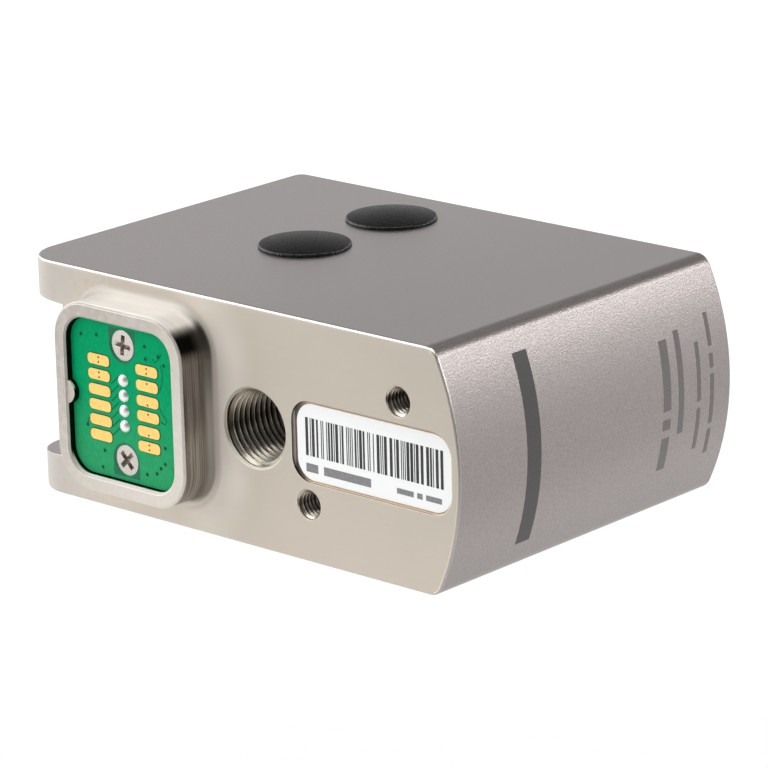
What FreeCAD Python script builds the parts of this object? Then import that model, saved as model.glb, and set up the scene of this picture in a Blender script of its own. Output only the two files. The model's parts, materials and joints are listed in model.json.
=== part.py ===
import FreeCAD
import Part
import Sketcher
import math
import os
from types import SimpleNamespace

# A force sensor: a milled aluminium block with a contact connector on one face, a channel along its
# rear, a curved front, and a load cell inside whose threaded shaft comes out of the far end.
# It lies on its flat side. X runs from the rear flanges to the curved front, Y from the connector
# face to the far end, Z up. The origin is under the middle of the whole part.

# Driving sizes in millimetres
SIZES = {
    # block
    "block_length": 94.1,
    "block_depth": 67.5,
    "block_height": 39.7,
    "front_bulge": 4.9,
    "front_edge_radius": 2.7,
    "near_corner_radius": 7.0,
    "far_corner_radius": 2.0,
    "edge_break": 0.6,
    "flange_tip": 6.2,
    "flange_root": 6.9,
    "channel_depth": 9.5,
    # connector boss
    "boss_x": 28.0,
    "boss_width": 28.6,
    "boss_foot": 5.0,
    "boss_crown": 3.3,
    "boss_rise": 6.35,
    "boss_corner": 6.75,
    "boss_root": 1.85,
    "rim_width": 2.55,
    "rim_break": 0.35,
    "key_radius": 2.0,
    "key_reach": 1.4,
    # contact board
    "board_recess": 1.35,
    "board_thickness": 1.6,
    "board_gap": 0.15,
    "contact_pitch": 2.54,
    "contact_column": 5.38,
    "pad_length": 4.84,
    "pad_width": 1.78,
    "pad_corner": 0.7,
    "pad_thickness": 0.1,
    "pin_diameter": 0.76,
    "pin_gap": 0.04,
    "pin_reach": 8.0,
    "solder_diameter": 2.1,
    "solder_height": 0.7,
    "header_height": 2.5,
    "header_width": 2.5,
    "socket_length": 8.6,
    "slot_gap": 1.4,
    "board_screw_inset": 3.57,
    "board_screw_head": 5.15,
    "board_screw_shank": 2.8,
    "board_screw_length": 7.0,
    "board_screw_sink": 0.12,
    "screw_gap": 0.1,
    # holes of the connector face
    "mount_x": 51.8,
    "mount_thread": 12.7,
    "mount_mouth": 13.5,
    "mount_hole_depth": 15.0,
    "guide_thread": 4.83,
    "guide_mouth": 5.1,
    "guide_depth": 10.0,
    "upper_guide_inset": 12.0,
    "upper_guide_rise": 10.1,
    "lower_guide_offset": 11.2,
    "lower_guide_drop": 10.3,
    # label
    "label_pocket_start": 1.15,
    "label_pocket_end": 1.5,
    "label_pocket_height": 13.3,
    "label_pocket_corner": 3.8,
    "label_pocket_depth": 0.5,
    "label_left_gap": 1.0,
    "label_right_gap": 0.2,
    "label_edge_gap": 0.4,
    "label_thickness": 0.2,
    # plugs in the top face
    "plug_x": 33.8,
    "last_plug_inset": 14.2,
    "plug_spacing": 21.3,
    "plug_head": 15.4,
    "plug_rim": 0.5,
    "plug_dome": 1.4,
    "plug_hole": 12.7,
    "plug_gap": 0.05,
    "plug_depth": 3.0,
    "plug_stem": 2.7,
    # cavity and end cover
    "rear_wall": 14.5,
    "front_wall": 11.6,
    "cavity_wall": 6.0,
    "seat_wall": 9.85,
    "seat_lap": 0.5,
    "cavity_corner": 3.0,
    "ledge_side": 6.75,
    "ledge_top": 2.8,
    "recess_corner": 5.0,
    "cover_thickness": 4.0,
    "cover_gap": 0.15,
    "gasket_thickness": 0.5,
    "cover_screw_spacing": 20.0,
    "cover_screw_head": 5.6,
    "cover_screw_shank": 3.0,
    "cover_screw_length": 12.0,
    "seal_diameter": 16.0,
    "seal_thickness": 3.0,
    "seal_gap": 0.2,
    # load cell
    "cell_side_gap": 2.0,
    "cell_near_gap": 4.0,
    "cell_end_gap": 2.8,
    "cell_floor_gap": 0.3,
    "cell_screw_edge": 6.0,
    "beam_step": 2.0,
    "free_leg_width": 11.0,
    "arm_nose": 6.8,
    "arm_gap": 3.0,
    "beam_gap": 4.5,
    "gauge_wall": 1.5,
    "gauge_land": 1.5,
    "gauge_web": 1.0,
    "gauge_slot": 4.0,
    "gauge_length": 6.0,
    "gauge_width": 8.0,
    "gauge_thickness": 0.15,
    "terminal_foot": 0.7,
    "terminal_length": 7.0,
    "terminal_height": 12.0,
    "terminal_thickness": 0.8,
    "cell_screw_shank": 5.0,
    "cell_screw_head": 8.5,
    "cell_screw_head_height": 3.5,
    "cell_screw_grip": 10.0,
    "cell_screw_gap": 0.3,
    "stop_pin_diameter": 4.0,
    "stop_pin_rise": 2.7,
    "stop_pin_seat": 9.0,
    "stop_pin_entry": 3.0,
    "stop_pin_gap": 0.25,
    # load shaft
    "shaft_root": 7.9,
    "shaft_root_gap": 0.05,
    "nut_thickness": 3.5,
    "nut_gap": 1.5,
    "nut_width": 13.0,
    "shaft_diameter": 12.0,
    "shaft_reach": 3.0,
    "stud_diameter": 6.6,
    "stud_length": 12.7,
    "stud_chamfer": 0.8,
    # signal board
    "standoff_height": 1.5,
    "standoff_diameter": 5.0,
    "signal_thickness": 1.2,
    "signal_far_gap": 6.0,
    "signal_length": 28.0,
    "signal_height": 18.0,
    "signal_screw_y": 3.5,
    "signal_screw_z": 2.4,
    "signal_screw_head": 4.2,
    "signal_screw_head_height": 1.4,
    "signal_screw_shank": 2.4,
    "signal_screw_length": 7.0,
    "chip_height": 1.1,
    # wiring
    "ribbon_thickness": 0.9,
    "ribbon_width": 5.0,
    "ribbon_bend": 2.2,
    "ribbon_lap": 5.0,
    "gauge_ribbon_thickness": 0.5,
    "gauge_ribbon_width": 4.0,
    "gauge_ribbon_drop": 3.0,
    "gauge_ribbon_bend": 0.8,
}

doc = FreeCAD.newDocument("force_sensor")
sheet = doc.addObject("Spreadsheet::Sheet", "sizes")
for row, (alias, amount) in enumerate(SIZES.items(), 1):
    sheet.set(f"A{row}", alias)
    sheet.set(f"B{row}", str(amount))
    sheet.setAlias(f"B{row}", alias)
doc.recompute()


class Size:
    """A length together with the sheet formula that gives it."""

    def __init__(self, number, formula):
        self.number = number
        self.formula = formula

    def __add__(self, other):
        other = as_size(other)
        return Size(self.number + other.number, f"({self.formula} + {other.formula})")

    def __sub__(self, other):
        other = as_size(other)
        return Size(self.number - other.number, f"({self.formula} - {other.formula})")

    def __mul__(self, other):
        other = as_size(other)
        return Size(self.number * other.number, f"({self.formula} * {other.formula})")

    def __truediv__(self, other):
        other = as_size(other)
        return Size(self.number / other.number, f"({self.formula} / {other.formula})")


def as_size(amount):
    if isinstance(amount, Size):
        return amount
    return Size(float(amount), repr(float(amount)))


s = SimpleNamespace(**{alias: Size(float(sheet.get(alias)), f"sizes.{alias}") for alias in SIZES})
zero = as_size(0)

# Places that several pieces share
middle_z = s.block_height / 2
stud_tip_y = s.block_depth + s.shaft_reach + s.stud_length
origin_x = s.block_length / 2
origin_y = (stud_tip_y - s.boss_rise) / 2

# Connector boss and contact board
boss_height = s.block_height - s.boss_foot - s.boss_crown
boss_z = s.boss_foot + boss_height / 2
pocket_width = s.boss_width - s.rim_width * 2
pocket_height = boss_height - s.rim_width * 2
pocket_corner = s.boss_corner - s.rim_width
board_front = s.boss_rise - s.board_recess
board_back = board_front - s.board_thickness
header_length = s.contact_pitch * 4
contact_rows = [boss_z + s.contact_pitch * (row - 2.5) for row in range(6)]
pin_rows = [boss_z + s.contact_pitch * (row - 1.5) for row in range(4)]
screw_offset = pocket_height / 2 - s.board_screw_inset
screw_rows = (boss_z - screw_offset, boss_z + screw_offset)

# Holes and label of the connector face
guide_holes = (
    (s.block_length - s.upper_guide_inset, middle_z + s.upper_guide_rise),
    (s.mount_x + s.lower_guide_offset, middle_z - s.lower_guide_drop),
)
label_pocket_left = s.mount_x + s.mount_mouth / 2 + s.label_pocket_start
label_pocket_right = s.block_length - s.label_pocket_end
label_left = label_pocket_left + s.label_left_gap
label_right = label_pocket_right - s.label_right_gap

# Plugs, load cell and cavity, counted from the far end
last_plug_y = s.block_depth - s.last_plug_inset
first_plug_y = last_plug_y - s.plug_spacing
plug_rows = (first_plug_y, last_plug_y)
ledge_y = s.block_depth - s.cover_thickness - s.gasket_thickness
cover_inner = ledge_y + s.gasket_thickness
cell_near = first_plug_y - s.cell_screw_edge
cell_far = cover_inner - s.nut_gap - s.nut_thickness
cavity_near = cell_near - s.cell_near_gap
cavity_left = s.channel_depth + s.rear_wall
cavity_right = s.block_length - s.front_wall
seat_top = s.block_height - s.seat_wall
cell_floor = s.seat_wall + s.cell_floor_gap
signal_face = cavity_right - s.standoff_height - s.signal_thickness

# Load cell: the beam fills what its two legs leave, and the arm what the beam leaves
cell_left = cavity_left + s.cell_side_gap
cell_right = signal_face - s.cell_end_gap
arm_left = s.mount_x - s.arm_nose
beam_left = arm_left - s.arm_gap
beam_right = cell_right - s.free_leg_width
beam_span = beam_right - beam_left
beam_x = beam_left + beam_span / 2
gauge_hole = (beam_span - s.gauge_land * 2 - s.gauge_web) / 2
gauge_hole_spacing = gauge_hole + s.gauge_web
beam_near = cell_near + s.beam_step
beam_far = beam_near + gauge_hole + s.gauge_wall * 2
arm_near = beam_far + s.beam_gap
arm_height = cell_far - arm_near
seat_right = beam_left + s.seat_lap

# End cover and signal board
recess_width = cavity_right - cavity_left + s.ledge_side * 2
recess_height = s.block_height - s.cavity_wall * 2 + s.ledge_top * 2
recess_x = (cavity_left + cavity_right) / 2
cover_columns = (cavity_left - s.ledge_side / 2, cavity_right + s.ledge_side / 2)
cover_rows = (middle_z - s.cover_screw_spacing / 2, middle_z + s.cover_screw_spacing / 2)
signal_far = ledge_y - s.signal_far_gap
signal_near = signal_far - s.signal_length
signal_screws = (
    (signal_near + s.signal_screw_y, middle_z + s.signal_height / 2 - s.signal_screw_z),
    (signal_far - s.signal_screw_y, middle_z - s.signal_height / 2 + s.signal_screw_z),
)

nodes = []


def new_body(label):
    """A new piece, in the block's own frame: flange tips, connector face and underside at zero."""
    body = doc.addObject("PartDesign::Body", label)
    body.Label = label
    place(body, zero, zero, zero)
    nodes.append(body)
    return body


def place(body, x, y, z, turn=FreeCAD.Rotation()):
    base = (x - origin_x, y - origin_y, z)
    body.Placement = FreeCAD.Placement(FreeCAD.Vector(*(part.number for part in base)), turn)
    for axis, part in zip("xyz", base):
        body.setExpression(f"Placement.Base.{axis}", part.formula)


def sketch_on(body, role, offset=zero):
    """A sketch on one of the body's own planes, moved along the plane's normal."""
    sketch = body.newObject("Sketcher::SketchObject", "Sketch")
    plane = next(part for part in body.Origin.OriginFeatures if part.Role == role)
    sketch.AttachmentSupport = [(plane, "")]
    sketch.MapMode = "FlatFace"
    sketch.AttachmentOffset = FreeCAD.Placement(FreeCAD.Vector(0, 0, offset.number), FreeCAD.Rotation())
    sketch.setExpression("AttachmentOffset.Base.z", offset.formula)
    return sketch


def facing_connector(body, y):
    """A sketch seen from the connector side, X to the right and Z up, at depth y."""
    return sketch_on(body, "XZ_Plane", zero - y)


def measure(sketch, constraint, size):
    index = sketch.addConstraint(constraint)
    sketch.setExpression(f"Constraints[{index}]", size.formula)


def hold_x(sketch, geometry, point, size):
    measure(sketch, Sketcher.Constraint("DistanceX", -1, 1, geometry, point, size.number), size)


def hold_y(sketch, geometry, point, size):
    measure(sketch, Sketcher.Constraint("DistanceY", -1, 1, geometry, point, size.number), size)


def vector(x, y):
    return FreeCAD.Vector(x.number, y.number, 0)


def circle(sketch, x, y, diameter):
    shape = Part.Circle(vector(x, y), FreeCAD.Vector(0, 0, 1), diameter.number / 2)
    geometry = sketch.addGeometry(shape)
    hold_x(sketch, geometry, 3, x)
    hold_y(sketch, geometry, 3, y)
    measure(sketch, Sketcher.Constraint("Diameter", geometry, diameter.number), diameter)


def dome(start, end):
    """An arc that rises from start to end, where it crosses the sketch's upright axis level."""
    (edge, low), (_, high) = start, end
    rise = high.number - low.number
    radius = (edge.number**2 + rise**2) / (2 * rise)
    centre = FreeCAD.Vector(0, high.number - radius, 0)
    full = Part.Circle(centre, FreeCAD.Vector(0, 0, 1), radius)
    return Part.ArcOfCircle(full, math.atan2(radius - rise, edge.number), math.pi / 2)


def polygon(sketch, points, domed=None):
    """A closed outline with every corner held to the sheet; the side numbered domed is an arc."""
    first = sketch.GeometryCount
    for index, (start, end) in enumerate(zip(points, points[1:] + points[:1])):
        if index == domed:
            sketch.addGeometry(dome(start, end))
            sketch.addConstraint(Sketcher.Constraint("PointOnObject", first + index, 3, -2))
        else:
            sketch.addGeometry(Part.LineSegment(vector(*start), vector(*end)))
    for index, (x, y) in enumerate(points):
        before = first + (index - 1) % len(points)
        sketch.addConstraint(Sketcher.Constraint("Coincident", before, 2, first + index, 1))
        hold_x(sketch, first + index, 1, x)
        hold_y(sketch, first + index, 1, y)


def rectangle(sketch, x, y, width, height):
    left, right = x - width / 2, x + width / 2
    low, high = y - height / 2, y + height / 2
    polygon(sketch, [(left, low), (right, low), (right, high), (left, high)])


def rounded_rectangle(sketch, x, y, width, height, radius):
    left, right = x - width / 2, x + width / 2
    low, high = y - height / 2, y + height / 2
    first = sketch.GeometryCount
    sides = [
        ((left + radius, low), (right - radius, low)),
        ((right, low + radius), (right, high - radius)),
        ((right - radius, high), (left + radius, high)),
        ((left, high - radius), (left, low + radius)),
    ]
    for start, end in sides:
        sketch.addGeometry(Part.LineSegment(vector(*start), vector(*end)))
    centres = [
        (right - radius, low + radius),
        (right - radius, high - radius),
        (left + radius, high - radius),
        (left + radius, low + radius),
    ]
    for index, centre in enumerate(centres):
        full = Part.Circle(vector(*centre), FreeCAD.Vector(0, 0, 1), radius.number)
        start = (index - 1) * math.pi / 2
        sketch.addGeometry(Part.ArcOfCircle(full, start, start + math.pi / 2))
    for index in range(4):
        side, arc = first + index, first + 4 + index
        following = first + (index + 1) % 4
        sketch.addConstraint(Sketcher.Constraint("Tangent", side, 2, arc, 1))
        sketch.addConstraint(Sketcher.Constraint("Tangent", arc, 2, following, 1))
        level = "Horizontal" if index % 2 == 0 else "Vertical"
        sketch.addConstraint(Sketcher.Constraint(level, side))
        if index:
            sketch.addConstraint(Sketcher.Constraint("Equal", first + 4, arc))
    measure(sketch, Sketcher.Constraint("Radius", first + 4, radius.number), radius)
    hold_y(sketch, first, 1, low)
    hold_x(sketch, first + 1, 1, right)
    hold_y(sketch, first + 2, 1, high)
    hold_x(sketch, first + 3, 1, left)


def feature(body, kind, **settings):
    made = body.newObject(f"PartDesign::{kind}", kind)
    for name, amount in settings.items():
        if isinstance(amount, Size):
            setattr(made, name, amount.number)
            made.setExpression(name, amount.formula)
        else:
            setattr(made, name, amount)
    return made


def pad(body, sketch, length, back=False):
    return feature(body, "Pad", Profile=sketch, Length=length, Reversed=back)


def pocket(body, sketch, depth, back=False):
    """Cuts a sketch into its body, and stops if nothing was cut."""
    doc.recompute()
    before = body.Shape.Volume
    made = feature(body, "Pocket", Profile=sketch, Length=depth, Reversed=back)
    doc.recompute()
    if body.Shape.Volume > before - 0.001:
        raise RuntimeError(f"a pocket of {body.Label} cuts nothing")
    return made


def dress(body, kind, size, chosen):
    """Rounds or chamfers the edges of a body for which chosen(edge) holds."""
    doc.recompute()
    base = body.Tip
    names = [f"Edge{index}" for index, edge in enumerate(base.Shape.Edges, 1) if chosen(edge)]
    if not names:
        raise RuntimeError(f"no edge of {body.Label} to dress")
    size_name = "Radius" if kind == "Fillet" else "Size"
    return feature(body, kind, Base=(base, names), **{size_name: size})


def turned(body, points, domed=None):
    """A solid turned about the body's own Z axis from an outline of (radius, height) points."""
    sketch = sketch_on(body, "XZ_Plane")
    polygon(sketch, points, domed)
    return feature(body, "Revolution", Profile=sketch, ReferenceAxis=(sketch, ["V_Axis"]), Angle=360.0)


def axis_of(body, role):
    return next(part for part in body.Origin.OriginFeatures if part.Role == role), [""]


def row_of(body, original, role, length, count, **second):
    """Repeats a feature along one of its body's axes, and along a second one if that is given."""
    first = {"Direction": axis_of(body, role), "Length": length, "Occurrences": count}
    made = feature(body, "LinearPattern", Originals=[original], **first, **second)
    body.Tip = made
    return made


def close(first, second):
    return abs(first - second) < 1e-4


def all_at(edge, axis, amount):
    """Whether a whole edge lies at one X, Y or Z."""
    box = edge.BoundBox
    low, high = getattr(box, f"{axis}Min"), getattr(box, f"{axis}Max")
    return close(low, amount.number) and close(high, amount.number)


def inside(edge, x, z, width, height, margin=0.01):
    """Whether an edge lies in an upright rectangle of the connector face."""
    box = edge.BoundBox
    across = abs(box.Center.x - x.number) + box.XLength / 2 < width.number / 2 + margin
    upright = abs(box.Center.z - z.number) + box.ZLength / 2 < height.number / 2 + margin
    return across and upright


# Turned pieces point out of the connector face with their rows upright, or out of the far end
towards_connector = FreeCAD.Rotation(
    FreeCAD.Vector(0, 0, 1), FreeCAD.Vector(-1, 0, 0), FreeCAD.Vector(0, -1, 0), "ZXY"
)
towards_far_end = FreeCAD.Rotation(FreeCAD.Vector(0, 0, 1), FreeCAD.Vector(0, 1, 0))


# Housing: the block
housing = new_body("housing")
front_x = s.block_length - s.front_bulge
front_radius = (s.block_height * s.block_height / 4 + s.front_bulge * s.front_bulge) / (s.front_bulge * 2)
profile = sketch_on(housing, "XZ_Plane")
corners = [
    (front_x, s.block_height),
    (zero, s.block_height),
    (zero, s.block_height - s.flange_tip),
    (s.channel_depth, s.block_height - s.flange_root),
    (s.channel_depth, s.flange_root),
    (zero, s.flange_tip),
    (zero, zero),
    (front_x, zero),
]
for start, end in zip(corners, corners[1:]):
    profile.addGeometry(Part.LineSegment(vector(*start), vector(*end)))
for index, (x, z) in enumerate(corners[:-1]):
    hold_x(profile, index, 1, x)
    hold_y(profile, index, 1, z)
hold_x(profile, 6, 2, front_x)
hold_y(profile, 6, 2, zero)
for index in range(6):
    profile.addConstraint(Sketcher.Constraint("Coincident", index, 2, index + 1, 1))
bulge = profile.addGeometry(
    Part.Arc(vector(front_x, zero), vector(s.block_length, middle_z), vector(front_x, s.block_height))
)
profile.addConstraint(Sketcher.Constraint("Coincident", 6, 2, bulge, 1))
profile.addConstraint(Sketcher.Constraint("Coincident", bulge, 2, 0, 1))
measure(profile, Sketcher.Constraint("Radius", bulge, front_radius.number), front_radius)
pad(housing, profile, s.block_depth, back=True)


def front_corner(edge):
    level = all_at(edge, "Z", zero) or all_at(edge, "Z", s.block_height)
    return level and all_at(edge, "X", front_x)


def flange_corner(edge, y):
    return all_at(edge, "X", zero) and all_at(edge, "Y", y)


dress(housing, "Fillet", s.front_edge_radius, front_corner)
dress(housing, "Fillet", s.near_corner_radius, lambda edge: flange_corner(edge, zero))
dress(housing, "Fillet", s.far_corner_radius, lambda edge: flange_corner(edge, s.block_depth))


def block_rim(edge):
    return all_at(edge, "Y", zero) and all_at(edge, "Z", s.block_height)


dress(housing, "Fillet", s.edge_break, block_rim)

# Housing: the connector boss with its concave root, stepped pocket and key
sketch = facing_connector(housing, zero)
rounded_rectangle(sketch, s.boss_x, boss_z, s.boss_width, boss_height, s.boss_corner)
pad(housing, sketch, s.boss_rise)
dress(
    housing,
    "Fillet",
    s.boss_root,
    lambda edge: all_at(edge, "Y", zero) and inside(edge, s.boss_x, boss_z, s.boss_width, boss_height),
)
sketch = facing_connector(housing, zero - s.boss_rise)
rounded_rectangle(sketch, s.boss_x, boss_z, pocket_width, pocket_height, pocket_corner)
pocket(housing, sketch, s.board_recess + s.board_thickness)
dress(housing, "Chamfer", s.rim_break, lambda edge: all_at(edge, "Y", zero - s.boss_rise))
pocket_left = s.boss_x - pocket_width / 2
key_x = pocket_left + s.key_reach - s.key_radius
sketch = facing_connector(housing, zero - s.boss_rise + s.rim_break)
circle(sketch, key_x, boss_z, s.key_radius * 2)
pad(housing, sketch, s.boss_rise - s.rim_break - board_back, back=True)
sketch = facing_connector(housing, zero - board_back)
slot_width = s.header_width + s.slot_gap * 2
rounded_rectangle(sketch, s.boss_x, boss_z, slot_width, header_length + s.slot_gap * 2, s.slot_gap)
pocket(housing, sketch, cavity_near + board_back)
sketch = facing_connector(housing, zero - board_back)
for z in screw_rows:
    circle(sketch, s.boss_x, z, s.board_screw_shank + s.screw_gap)
pocket(housing, sketch, s.board_screw_length)

# Housing: holes and label pocket of the connector face
sketch = facing_connector(housing, zero)
circle(sketch, s.mount_x, middle_z, s.mount_thread)
pocket(housing, sketch, s.mount_hole_depth)
sketch = facing_connector(housing, zero)
for x, z in guide_holes:
    circle(sketch, x, z, s.guide_thread)
pocket(housing, sketch, s.guide_depth)


def mouth(edge, diameter):
    round_edge = isinstance(edge.Curve, Part.Circle) and close(edge.Curve.Radius, diameter.number / 2)
    return round_edge and all_at(edge, "Y", zero)


dress(housing, "Chamfer", (s.mount_mouth - s.mount_thread) / 2, lambda edge: mouth(edge, s.mount_thread))
dress(housing, "Chamfer", (s.guide_mouth - s.guide_thread) / 2, lambda edge: mouth(edge, s.guide_thread))
sketch = facing_connector(housing, zero)
rounded_rectangle(
    sketch,
    (label_pocket_left + label_pocket_right) / 2,
    middle_z,
    label_pocket_right - label_pocket_left,
    s.label_pocket_height,
    s.label_pocket_corner,
)
pocket(housing, sketch, s.label_pocket_depth)

# Housing: stepped holes under the plugs
head_floor = s.block_height - s.plug_depth - s.cell_screw_head_height - s.cell_screw_gap
for diameter, floor in (
    (s.plug_hole, s.block_height - s.plug_depth),
    (s.cell_screw_head + s.cell_screw_gap * 2, head_floor),
    (s.cell_screw_shank + s.cell_screw_gap, seat_top),
):
    sketch = sketch_on(housing, "XY_Plane", s.block_height)
    for y in plug_rows:
        circle(sketch, s.plug_x, y, diameter)
    pocket(housing, sketch, s.block_height - floor)

# Housing: cavity with thick seats for the load cell, recess for the cover, screw holes
sketch = facing_connector(housing, s.block_depth)
cavity_top = s.block_height - s.cavity_wall
polygon(
    sketch,
    [
        (cavity_left, s.seat_wall),
        (seat_right, s.seat_wall),
        (seat_right, s.cavity_wall),
        (cavity_right, s.cavity_wall),
        (cavity_right, cavity_top),
        (seat_right, cavity_top),
        (seat_right, seat_top),
        (cavity_left, seat_top),
    ],
)
pocket(housing, sketch, s.block_depth - cavity_near, back=True)


def cavity_corner(edge):
    box = edge.BoundBox
    along = close(box.YMin, cavity_near.number) and close(box.YMax, s.block_depth.number)
    end = all_at(edge, "X", cavity_right)
    return along and end


dress(housing, "Fillet", s.cavity_corner, cavity_corner)
sketch = facing_connector(housing, s.block_depth)
rounded_rectangle(sketch, recess_x, middle_z, recess_width, recess_height, s.recess_corner)
pocket(housing, sketch, s.cover_thickness + s.gasket_thickness, back=True)
sketch = facing_connector(housing, ledge_y)
for x in cover_columns:
    for z in cover_rows:
        circle(sketch, x, z, s.cover_screw_shank + s.screw_gap)
pocket(housing, sketch, s.cover_screw_length - s.cover_thickness, back=True)
sketch = sketch_on(housing, "YZ_Plane", cavity_right)
for y, z in signal_screws:
    circle(sketch, y, z, s.signal_screw_shank + s.screw_gap)
signal_screw_grip = s.signal_screw_length - s.signal_thickness - s.standoff_height
pocket(housing, sketch, signal_screw_grip + s.screw_gap, back=True)

# Contact board with its key notch, countersunk screw holes and pin holes
board = new_body("contact_board")
sketch = facing_connector(board, zero - board_front)
board_corner = pocket_corner - s.board_gap
rounded_rectangle(
    sketch, s.boss_x, boss_z, pocket_width - s.board_gap * 2, pocket_height - s.board_gap * 2, board_corner
)
pad(board, sketch, s.board_thickness, back=True)
sketch = facing_connector(board, zero - board_front)
circle(sketch, key_x, boss_z, (s.key_radius + s.board_gap) * 2)
pocket(board, sketch, s.board_thickness)
sketch = facing_connector(board, zero - board_front)
for z in screw_rows:
    circle(sketch, s.boss_x, z, s.board_screw_shank + s.screw_gap * 2)
for z in pin_rows:
    circle(sketch, s.boss_x, z, s.pin_diameter + s.pin_gap * 2)
pocket(board, sketch, s.board_thickness)
head_depth = (s.board_screw_head - s.board_screw_shank) / 2
seat_size = head_depth + s.board_screw_sink - s.screw_gap


def screw_seat(edge):
    wanted = (s.board_screw_shank.number + s.screw_gap.number * 2) / 2
    round_edge = isinstance(edge.Curve, Part.Circle) and close(edge.Curve.Radius, wanted)
    return round_edge and all_at(edge, "Y", zero - board_front)


dress(board, "Chamfer", seat_size, screw_seat)

# Gold contact pads in two columns
pads = new_body("contact_pads")
sketch = facing_connector(pads, zero - board_front)
for x in (s.boss_x - s.contact_column, s.boss_x + s.contact_column):
    for z in contact_rows:
        rounded_rectangle(sketch, x, z, s.pad_length, s.pad_width, s.pad_corner)
pad(pads, sketch, s.pad_thickness)

# Header pins: each has a solder dome in front of the board and a tail behind it
pins = new_body("header_pins")
pin_radius = s.pin_diameter / 2
pin_tail = s.board_thickness + s.pin_reach
first_pin = turned(
    pins,
    [
        (zero, zero - pin_tail),
        (pin_radius, zero - pin_tail),
        (pin_radius, zero),
        (s.solder_diameter / 2, zero),
        (zero, s.solder_height),
    ],
    domed=3,
)
row_of(pins, first_pin, "X_Axis", s.contact_pitch * 3, 4)
place(pins, s.boss_x, zero - board_front, pin_rows[0], towards_connector)

# Plastic base of the header, and the socket that the wiring ends in
header = new_body("header_base")
sketch = facing_connector(header, zero - board_back)
rectangle(sketch, s.boss_x, boss_z, s.header_width, header_length)
for z in pin_rows:
    circle(sketch, s.boss_x, z, s.pin_diameter + s.pin_gap * 2)
pad(header, sketch, s.header_height, back=True)
header_back = s.header_height - board_back
socket = new_body("lead_socket")
sketch = facing_connector(socket, header_back)
rectangle(sketch, s.boss_x, boss_z, s.header_width, header_length)
pad(socket, sketch, s.socket_length, back=True)
sketch = facing_connector(socket, header_back)
for z in pin_rows:
    circle(sketch, s.boss_x, z, s.pin_diameter + s.pin_gap * 2)
pocket(socket, sketch, s.pin_reach - s.header_height + s.pin_gap)
socket_back = header_back + s.socket_length

# Flush screws of the contact board
board_screws = new_body("board_screws")
head_radius = s.board_screw_head / 2
shank_radius = s.board_screw_shank / 2
first_screw = turned(
    board_screws,
    [
        (zero, zero - s.board_screw_length),
        (shank_radius, zero - s.board_screw_length),
        (shank_radius, zero - head_depth),
        (head_radius, zero),
        (zero, zero),
    ],
)
row_of(board_screws, first_screw, "X_Axis", screw_offset * 2, 2)
place(board_screws, s.boss_x, zero - board_front + s.board_screw_sink, screw_rows[0], towards_connector)

# Label in its shallow pocket
label = new_body("serial_label")
sketch = facing_connector(label, s.label_pocket_depth)
rounded_rectangle(
    sketch,
    (label_left + label_right) / 2,
    middle_z,
    label_right - label_left,
    s.label_pocket_height - s.label_edge_gap * 2,
    s.label_pocket_corner - s.label_edge_gap,
)
pad(label, sketch, s.label_thickness)

# Domed plugs over the cell screws
plugs = new_body("access_plugs")
plug_radius = s.plug_head / 2
stem_radius = s.plug_hole / 2 - s.plug_gap
first_plug = turned(
    plugs,
    [
        (zero, zero - s.plug_stem),
        (stem_radius, zero - s.plug_stem),
        (stem_radius, zero),
        (plug_radius, zero),
        (plug_radius, s.plug_rim),
        (zero, s.plug_dome),
    ],
    domed=4,
)
row_of(plugs, first_plug, "Y_Axis", s.plug_spacing, 2)
place(plugs, s.plug_x, first_plug_y, s.block_height)

# Cap screws that hold the load cell under the top wall
cell_screws = new_body("cell_screws")
sketch = sketch_on(cell_screws, "XY_Plane", head_floor)
for y in plug_rows:
    circle(sketch, s.plug_x, y, s.cell_screw_head)
pad(cell_screws, sketch, s.cell_screw_head_height)
sketch = sketch_on(cell_screws, "XY_Plane", head_floor)
for y in plug_rows:
    circle(sketch, s.plug_x, y, s.cell_screw_shank)
pad(cell_screws, sketch, head_floor - seat_top + s.cell_screw_grip, back=True)

# Load cell: a fixed leg, a drilled bending beam, a free leg and an arm back to the load axis
cell = new_body("load_cell")
sketch = sketch_on(cell, "XY_Plane", cell_floor)
polygon(
    sketch,
    [
        (cell_left, cell_near),
        (beam_left, cell_near),
        (beam_left, beam_near),
        (cell_right, beam_near),
        (cell_right, cell_far),
        (arm_left, cell_far),
        (arm_left, arm_near),
        (beam_right, arm_near),
        (beam_right, beam_far),
        (beam_left, beam_far),
        (beam_left, cell_far),
        (cell_left, cell_far),
    ],
)
cell_thickness = seat_top - cell_floor
pad(cell, sketch, cell_thickness)
beam_y = (beam_near + beam_far) / 2
for side in (-0.5, 0.5):
    sketch = sketch_on(cell, "XY_Plane", seat_top)
    circle(sketch, beam_x + gauge_hole_spacing * side, beam_y, gauge_hole)
    pocket(cell, sketch, cell_thickness)
sketch = sketch_on(cell, "XY_Plane", seat_top)
rectangle(sketch, beam_x, beam_y, gauge_hole_spacing, s.gauge_slot)
pocket(cell, sketch, cell_thickness)
sketch = sketch_on(cell, "XY_Plane", seat_top)
for y in plug_rows:
    circle(sketch, s.plug_x, y, s.cell_screw_shank + s.screw_gap)
pocket(cell, sketch, s.cell_screw_grip + s.screw_gap)
sketch = facing_connector(cell, cell_far)
circle(sketch, s.mount_x, middle_z, s.shaft_root + s.shaft_root_gap * 2)
pocket(cell, sketch, arm_height, back=True)
pin_y = cell_far - arm_height / 2
pin_z = cell_floor + s.stop_pin_rise
sketch = sketch_on(cell, "YZ_Plane", beam_left)
circle(sketch, pin_y, pin_z, s.stop_pin_diameter)
pocket(cell, sketch, s.stop_pin_seat)
sketch = sketch_on(cell, "YZ_Plane", arm_left)
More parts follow.
